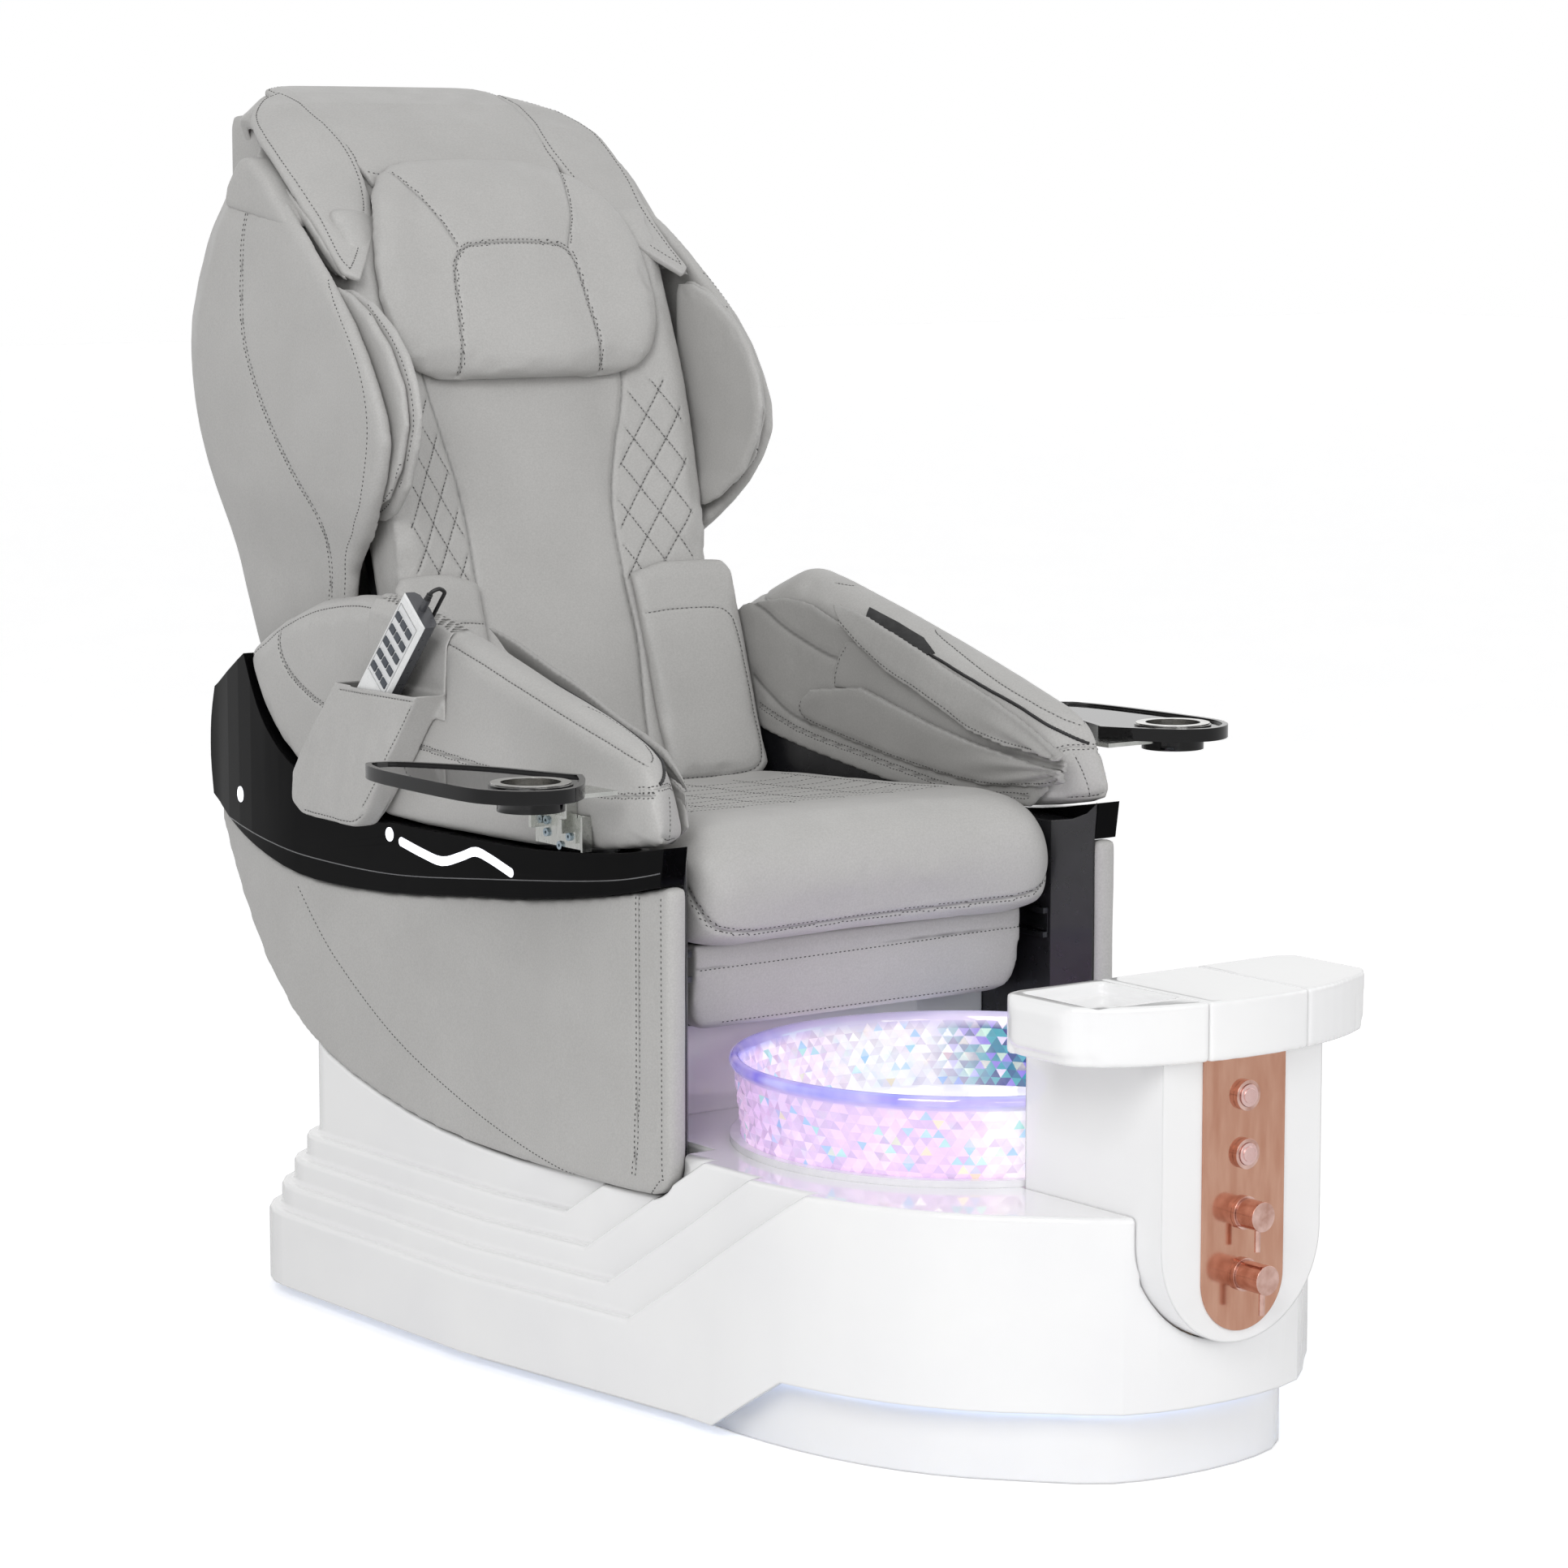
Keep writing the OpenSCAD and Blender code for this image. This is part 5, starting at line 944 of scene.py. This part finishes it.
lumbarSeams = [dict(plane="y", side=-1, width=2.5, depth=1.0, line=[(s * u, z) for u, z in line])
               for s in (-1, 1) for line in (
                   [(122, 829), (160, 833), (214, 833), (232, 826), (240, 808), (243, 760), (245, 700), (243, 655),
                    (232, 632), (200, 624), (150, 622), (112, 622)],)]


def widened(mesh):
    # The pads' outer halves reach a little further out.
    points = coords(mesh)
    past = np.maximum(0, np.abs(points[:, 0]) - 0.112)
    points[:, 0] += np.sign(points[:, 0]) * past * 0.17
    return points


upholstered("lumbar_skin", "lumbar_pads", "backrest",
            dict(voxel=4, soften=5, pressure=3, cap=2.5, subdivide=True, depth=1.5, hollow=90, shape=widened),
            lumbarSeams)

pillowSeams = [
    dict(plane="y", side=-1, width=3.5, depth=3, rows=(3.2, -3.2), line=[
        (-108, 1134), (-104, 1180), (-98, 1230), (-92, 1272), (-78, 1293), (-50, 1300), (0, 1302), (50, 1300),
        (78, 1293), (92, 1272), (98, 1230), (104, 1180), (108, 1134)]),
    dict(plane="y", side=-1, width=3.5, depth=2.6, rows=(3.2,), line=[(-84, 1296), (-104, 1340), (-128, 1390)]),
    dict(plane="y", side=-1, width=3.5, depth=2.6, rows=(3.2,), line=[(84, 1296), (104, 1340), (128, 1390)]),
]
upholstered("head_pillow", "pillow", "backrest",
            dict(voxel=4.5, soften=6, pressure=4, cap=4, subdivide=True, depth=1.2, hollow=70, fill=0.8), pillowSeams)


def drawnIn(mesh):
    # The hood's back hem is narrower than its top.
    points = coords(mesh)
    low = np.clip((1.462 - points[:, 2]) / 0.06, 0, 1) * np.clip((points[:, 1] - 0.85) / 0.06, 0, 1)
    points[:, 0] *= 1 - 0.16 * low
    return points


upholstered("hood_skin", "hood", "backrest", dict(voxel=4, soften=4, depth=1.5, hollow=110, shape=drawnIn))

hoodRise = [(600, 1232), (631, 1254), (680, 1290), (720, 1325), (746, 1349), (774, 1380), (794, 1398), (820, 1419),
            (854, 1444), (904, 1470), (950, 1484), (992, 1494), (1030, 1488)]
hoodPanels = [  # outline seen from above, how far it stands over the hood, thickness, inset of its stitches
    dict(name="hood_panel", over=-1.5, thick=8, inset=8, outline=[
        (-179, 954), (-172, 984), (-120, 1000), (0, 1004), (120, 1000), (172, 984), (179, 954), (174, 928), (170, 870),
        (159, 808), (146, 764), (0, 758), (-146, 764), (-159, 808), (-170, 870), (-174, 928)]),
    dict(name="hood_flap_right", over=0, thick=9, inset=9, outline=[
        (-166, 958), (-205, 938), (-234, 908), (-253, 882), (-264, 844), (-264, 778), (-258, 722), (-262, 652),
        (-245, 638), (-189, 698), (-160, 748), (-150, 808), (-158, 870), (-160, 928)]),
]
hoodPanels.append(dict(hoodPanels[1], name="hood_flap_left",
                       outline=[(-x, y) for x, y in hoodPanels[1]["outline"]][::-1]))


hoodLay = {
    "droopFrom": 150, "droopRun": 110, "droop": 12,  # the panels droop towards the sides
    "steep": 45, "flat": 25, "steepUntil": 800,  # slope in degrees in front of and behind this Y
    "foot": 4,  # the front corners lie on the shoulders and stand higher
}


def hoodPanel(panel):
    # A flat padded panel laid over the hood's rise.
    part = slab(panel["outline"], "z", 0, panel["thick"], 2.5, 4)
    rim = spaced(panel["outline"] + panel["outline"][:1], 4)
    edge = lineTree([(x * mm, y * mm, 0) for x, y in rim])
    for v in part.data.vertices:
        x, y, up = v.co / mm
        inside = min(1, edge.find((v.co.x, v.co.y, 0))[2] / (30 * mm))
        droop = max(0, abs(x) - hoodLay["droopFrom"]) / hoodLay["droopRun"] * hoodLay["droop"]
        z = float(np.interp(y, [q[0] for q in hoodRise], [q[1] for q in hoodRise])) - droop + panel["over"]
        slope = math.radians(hoodLay["steep"] if y < hoodLay["steepUntil"] else hoodLay["flat"])
        foot = min(1, max(0, (790 - y) / 60)) * min(1, max(0, (abs(x) - 140) / 50))
        rise = up * (1 + 0.25 * math.sqrt(inside)) + hoodLay["foot"] * foot
        v.co = Vector((x, y - rise * math.sin(slope), z + rise * math.cos(slope))) * mm
    part.data.update()
    points, faces = joined([part])
    piece = newPiece(panel["name"], points, faces, "leather_grey", "backrest")
    middleX = sum(x for x, y in panel["outline"]) / len(panel["outline"])
    middleY = sum(y for x, y in panel["outline"]) / len(panel["outline"])
    line = []
    for x, y in rim:
        near = edge.find((x * mm, y * mm, 0))[1]
        before, after = rim[near - 1], rim[(near + 1) % len(rim)]
        along = Vector((after[0] - before[0], after[1] - before[1])).normalized()
        inward = Vector((-along.y, along.x))
        if inward.dot(Vector((middleX - x, middleY - y))) < 0:
            inward = -inward
        line.append((x + inward.x * panel["inset"], y + inward.y * panel["inset"]))
    sewn(piece, [dict(plane="z", side=1, width=2, depth=0.7, line=line[::3])], "backrest", "leather_grey")


for panel in hoodPanels:
    hoodPanel(panel)

# leather filling under the hood, and the corners where the back shell runs up under its flaps
underHood = [(778, 1362), (800, 1380), (830, 1403), (862, 1426), (905, 1446), (960, 1462), (990, 1462), (996, 1450),
             (996, 1362)]
wingCap = [(744, 1320), (744, 1332), (770, 1356), (800, 1384), (833, 1407), (852, 1408), (868, 1396), (890, 1370),
           (896, 1345)]
points, faces = joined([slab(underHood, "x", -216, 216, 5, 6), slab(wingCap, "x", -287, -246, 4, 8),
                        slab(wingCap, "x", 246, 287, 4, 8)])
newPiece("hood_filling", points, faces, "leather_grey", "backrest")

shoulderSeams = []
for side in (-1, 1):
    shoulderSeams.append(dict(plane="x", side=side, depth=0, line=[
        (600, 966), (560, 982), (520, 1010), (492, 1054), (483, 1092), (490, 1130), (510, 1165), (540, 1196),
        (590, 1230)]))
upholstered("shoulder_leaves", "shoulder_pads", "backrest",
            dict(voxel=3, soften=4, pressure=2, cap=1.5, depth=1.6, hollow=60), shoulderSeams)
shellSeams = []
for side in (-1, 1):
    shellSeams.append(dict(plane="x", side=side, width=3, depth=1.5, rows=doubleRow, line=[
        (838, 1372), (843, 1321), (836, 1250), (822, 1180), (795, 1125), (765, 1080), (722, 1020), (682, 960),
        (684, 880), (700, 780), (712, 640)]))
    shellSeams.append(dict(plane="x", side=side, depth=0, line=[
        (775, 1370), (730, 1338), (618, 1236), (550, 1154), (528, 1077), (560, 996), (605, 950), (650, 890),
        (662, 700)]))
for line in ([(-270, 1130), (0, 1130), (270, 1130)], [(0, 1120), (0, 900), (0, 700)]):
    shellSeams.append(dict(plane="y", side=1, width=3.5, depth=2, rows=doubleRow, line=line))
upholstered("shell_skin", "back_shell", "backrest", dict(voxel=5.5, soften=5, depth=2, hollow=150, fill=0.4),
            shellSeams)
print("back done")

# Handset pocket
pocketSeams = [
    dict(plane="x", side=-1, width=2, depth=0.8, line=[(300, 771), (380, 771), (466, 771)]),
    dict(plane="x", side=-1, width=2, depth=0.8, line=[(303, 765), (340, 722), (380, 674), (421, 632)]),
    dict(plane="x", side=-1, width=2, depth=0.8, line=[(424, 622), (446, 612), (500, 613), (556, 615)]),
]


def slack(mesh):
    # The pocket's foot sags into a round end, and its front hangs in slow folds.
    before = coords(mesh).copy()
    smoothed(mesh, 60)
    soft = coords(mesh)
    low = np.clip((0.700 - before[:, 2]) / 0.07, 0, 1)[:, None]
    points = before * (1 - low) + soft * low
    front = before[:, 0] < -0.352
    for i in np.where(front)[0]:
        y, z = points[i, 1] / mm, points[i, 2] / mm
        fold = noise.noise(Vector((y / 26 + z / 60, z / 75, 2)))
        points[i, 0] -= 2.4 * mm * max(-1, fold) * min(1, max(0, (770 - z) / 60))
    return points


upholstered("pocket_skin", "remote_pocket", "base",
            dict(voxel=2.2, soften=3, depth=1.2, hollow=50, fill=0.2, shape=slack), pocketSeams)
print("upholstery done")

# Glass bowl
bowlForm = {
    "centreY": -260.0, "columns": 120,
    # radius and height of the plain turned parts
    "foot": [(30, 203.3), (120, 203.3), (190, 203.3), (232, 243.3), (243.6, 290), (249, 295.6)],
    "rim": [(263.4, 380), (267, 384), (267.9, 388), (266.5, 392.5), (263.5, 394.8), (260, 395), (257, 393.6),
            (254.6, 388)],
    "basin": [(239, 305), (224, 250), (184, 214.6), (120, 214.4), (30, 214.4)],
    # facets between two heights: radius at each, rows, how far the points stand out
    "outer": dict(start=(252.6, 298), end=(261.4, 378), rows=8, stand=2.0),
    "inner": dict(start=(253.4, 385), end=(240.6, 309), rows=8, stand=-1.8),
}


def facetedBowl():
    # Rings of points joined by triangles; every third point of a facet ring stands out, as on cut glass.
    count = bowlForm["columns"]
    build = bmesh.new()
    tint = build.faces.layers.float.new("tint")
    glow = build.faces.layers.float.new("glow")
    basin = build.faces.layers.float.new("basin")
    rings = [(r, z, 0.0, 0.0) for r, z in bowlForm["foot"]]
    for part, after in (("outer", "rim"), ("inner", "basin")):
        form = bowlForm[part]
        for k in range(form["rows"] + 1):
            t = k / form["rows"]
            rings.append((form["start"][0] + t * (form["end"][0] - form["start"][0]),
                          form["start"][1] + t * (form["end"][1] - form["start"][1]), 0.5 * (k % 2),
                          form["stand"] if 0 < k < form["rows"] else 0.0))
        rings += [(r, z, 0.0, 0.0) for r, z in bowlForm[after]]
    made = []
    for radius, height, turn, stand in rings:
        ring = []
        for k in range(count):
            a = 2 * math.pi * (k + turn) / count
            out = stand if (k + (2 if turn else 0)) % 3 == 0 else -0.3 * stand
            r = radius + out
            ring.append(build.verts.new((r * math.cos(a) * mm, (bowlForm["centreY"] + r * math.sin(a)) * mm,
                                         height * mm)))
        made.append((ring, turn, stand))
    for (a, turnA, standA), (b, turnB, standB) in zip(made, made[1:]):
        for k in range(count):
            n = (k + 1) % count
            if turnA > turnB:
                new = [(a[k], b[n], b[k]), (a[k], a[n], b[n])]
            else:
                new = [(a[k], a[n], b[k]), (a[n], b[n], b[k])]
            for corners in new:
                face = build.faces.new(corners)
                middle = face.calc_center_median()
                cut = standA or standB
                face.smooth = not cut
                # lilac on the near left of the chair, whiter towards the taps
                wave = 0.5 + 1.6 * middle.x + 0.35 * noise.noise(middle * 9.0)
                own = 0.5 + 0.5 * noise.cell(middle * 900.0) if cut else 0.6
                face[tint] = min(1, max(0, wave + 0.16 * (own - 0.5)))
                face[glow] = own
                inner = math.hypot(middle.x, middle.y + 0.26) < 0.2535 and middle.z > 0.3
                face[basin] = 1.0 if inner and cut else 0.0
    build.faces.new(made[0][0][::-1])
    build.faces.new(made[-1][0])
    bmesh.ops.recalc_face_normals(build, faces=build.faces)
    piece = addPiece("glass_bowl", meshFrom(build, "glass_bowl"), "bowl_glass", "base")
    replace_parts(piece, "bowl")
    return piece


glassBowl = facetedBowl()
print("bowl", len(glassBowl.data.polygons), "facets")

# Moulded and turned pieces
mouldLook = {"flat": 0.6, "sharp": 38, "edge": 24, "shortest": 2.2}  # degrees, and the shortest edge bevelled, in mm


def outwards(p, n):
    # Whether a face looks up or away from the middle line of the chair.
    away = Vector((p.x, p.y - min(0.55, max(-0.19, p.y)), 0))
    return n.z > 0.3 or (away.length > 0.15 and n.dot(away.normalized()) > 0.25)


def moulded(node, body, soften=0.0, steps=3, keep=None, crease=None):
    # A merged copy of a CAD node with its coplanar triangles joined, its edges rounded and its curves shaded smooth.
    build = bmesh.new()
    build.from_mesh(frame["nodes"][node].data)
    bmesh.ops.remove_doubles(build, verts=build.verts, dist=1e-5)
    bmesh.ops.dissolve_limit(build, angle_limit=math.radians(mouldLook["flat"]), verts=build.verts, edges=build.edges)
    if crease:
        crease(build)
    if soften:
        chosen = []
        for e in build.edges:
            if not e.is_manifold or e.calc_length() < mouldLook["shortest"] * mm:
                continue
            if e.calc_face_angle(0) < math.radians(mouldLook["edge"]):
                continue
            middle = (e.verts[0].co + e.verts[1].co) / 2
            if all(outwards(f.calc_center_median(), f.normal) for f in e.link_faces) and (not keep or keep(middle)):
                chosen.append(e)
        bmesh.ops.bevel(build, geom=chosen, offset=soften * mm, segments=steps, affect="EDGES", profile=0.5,
                        material=-1, clamp_overlap=False)
    mesh = meshFrom(build, node + "_finished")
    for face in mesh.polygons:
        face.use_smooth = True
    mesh.set_sharp_from_angle(angle=math.radians(mouldLook["sharp"]))
    if crease:
        for edge in mesh.edges:
            a, b = (mesh.vertices[i].co / mm for i in edge.vertices)
            if all(abs(p.z - creaseHeight(p.y)) < 0.5 for p in (a, b)) and abs(a.x) > 320:
                edge.use_edge_sharp = True
    made = addPiece(node + "_finished", mesh, slotOf[node], body)
    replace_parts(made, node)
    made.modifiers.new("weighted", "WEIGHTED_NORMAL").keep_sharp = True
    return made


creaseLine = [(-160, 621), (-36, 595), (211, 567), (416, 548), (598, 546), (716, 554), (900, 575)]


def creaseHeight(y):
    return float(np.interp(y, [q[0] for q in creaseLine], [q[1] for q in creaseLine]))


def bandCrease(build):
    # Splits an arm's gloss band along its crease.
    for (ya, za), (yb, zb) in zip(creaseLine, creaseLine[1:]):
        bmesh.ops.bisect_plane(build, geom=build.verts[:] + build.edges[:] + build.faces[:],
                               plane_co=(0, ya * mm, za * mm), plane_no=(0, za - zb, yb - ya))


moulded("base_shell", "base", 6.0, 4, keep=lambda p: p.z > 0.098)
for node in ("pedestal", "plinth", "rear_cover", "bowl_ring"):
    moulded(node, "base")
for word in ("left", "right"):
    band = moulded("arm_band_" + word, "base", crease=bandCrease)
    side = 1 if word == "left" else -1
    tree = meshTree(band.data)
    # painted highlight: a thin grey tube along each band's crease stands in for the light that the crease catches
    for number, run in enumerate(runs(onSurface(tree, spaced(creaseLine, 3), "x", side))):
        vertices, faces = tube([p for p, n in run], 0.8 * mm, 6)
        newPiece("crease_highlight_" + word + str(number), vertices, faces, "gloss_black", "base", creaseHighlight)
    moulded("tray_" + word, "tray_" + word + "_assembly")
    moulded("cup_" + word, "tray_" + word + "_assembly")


footrest = {
    "front": -760, "crown": 62, "half": 215,  # the front edge falls back by the crown towards its ends
    "corner": 34, "inner": 118,
    "walls": ((208.5, 0.5, 16), (214, 12, 46)),  # half width of the end, and the wall's lower and upper edge
    "voxel": 2.2, "soften": 7,
}


def footrestFront(x):
    return footrest["front"] + footrest["crown"] * (x / footrest["half"]) ** 2.2


def wingPlan(side, half):
    # Outer end of a footrest section seen from above, in mm: crowned front, rounded corners.
    corner, inner = footrest["corner"], footrest["inner"]
    plan = [(x, footrestFront(x) + 0.5) for x in (inner, 132, 146, 160, 174, half - 24)]
    plan += [(half - corner + corner * math.cos(math.radians(a)),
              footrestFront(half - 13.6) + corner + corner * math.sin(math.radians(a))) for a in (-60, -40, -20, 0)]
    plan += [(half, -609), (half - 2.2, -597), (inner, -597)]
    return [(side * x, y) for x, y in plan]


for word, side in (("left", 1), ("centre", 0), ("right", -1)):
    # sections with broadly rounded edges; the outer ones have whole walls below
    node = "footrest_" + word
    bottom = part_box(node)[0][2] / mm
    sources = looseParts(frame["nodes"][node].data)
    if side:
        walls = joined([slab(wingPlan(side, half), "z", bottom + low, bottom + high, 2.0, 0)
                        for half, low, high in footrest["walls"]])
        points, faces = sources[0]
        sources[0] = (points + walls[0], faces + [[len(points) + i for i in face] for face in walls[1]])
    parts = [remeshed(node, source, footrest["voxel"]) for source in sources]
    for part in parts:
        smoothed(part.data, footrest["soften"])
    points, faces = joined(parts)
    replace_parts(newPiece(node + "_finished", points, faces, slotOf[node], "base"), node)
print("moulded pieces done")

# Floor and light
made, add, place = startMaterial("paintedFloor")
patches = add("MapRange", Value=add("TexNoise", Vector=place, Scale=1000 / 400), **core)
rough = add("MapRange", Value=add("TexNoise", Vector=place, Scale=1000 / 60), To_Min=0.5, To_Max=0.6, **core)
lift = add("Math", operation="MULTIPLY", Value=[add("LightPath").node.outputs["Is Camera Ray"], light["floorLift"]])
# matt studio paint: nearly white, and it keeps the shadow
floorPaint = finishMaterial(made, add, Roughness=rough, Emission_Color=(1, 1, 1, 1), Emission_Strength=lift,
                            Base_Color=add("Mix", data_type="RGBA", Factor=patches, A=srgb("F6F6F6"),
                                           B=srgb("F3F3F4")))
bpy.ops.mesh.primitive_plane_add(size=60, location=(0, 0, -0.001))
floor = bpy.context.object
floor.name = "floor"
floor.data.materials.append(floorPaint)

world = bpy.data.worlds.new("studio")
scene.world = world
world.use_nodes = True
world.node_tree.nodes.clear()
add = partial(addNode, world.node_tree)
rays = add("LightPath").node.outputs
seen = rays["Is Camera Ray"]
for ray in ("Is Glossy Ray", "Is Transmission Ray"):
    seen = add("Math", operation="MAXIMUM", Value=[seen, rays[ray]])
# white where it is seen, weaker where it lights
strength = add("MapRange", Value=seen, To_Min=light["world"])
add("OutputWorld", Surface=add("Background", Color=(1, 1, 1, 1), Strength=strength))


def softbox(name, place, target, size, power):
    data = bpy.data.lights.new(name, "AREA")
    data.shape = "RECTANGLE"
    data.size, data.size_y = size
    data.energy = power
    made = bpy.data.objects.new(name, data)
    made.location = place
    made.rotation_euler = (Vector(target) - Vector(place)).to_track_quat("-Z", "Y").to_euler()
    scene.collection.objects.link(made)


softbox("key", (-3.4, -2.4, 3.2), (0, 0.2, 0.7), (2.2, 2.2), light["key"])
softbox("top", (0.3, 0.8, 4.2), (0, 0.3, 0.6), (2.8, 2.8), light["top"])
softbox("fill", (3.6, -2.0, 2.2), (0, 0.2, 0.8), (2.0, 2.8), light["fill"])
softbox("front", (-0.6, -4.6, 1.8), (0, 0, 0.6), (2.6, 1.6), light["front"])
scene.view_settings.view_transform = "Standard"
print("floor and light done")
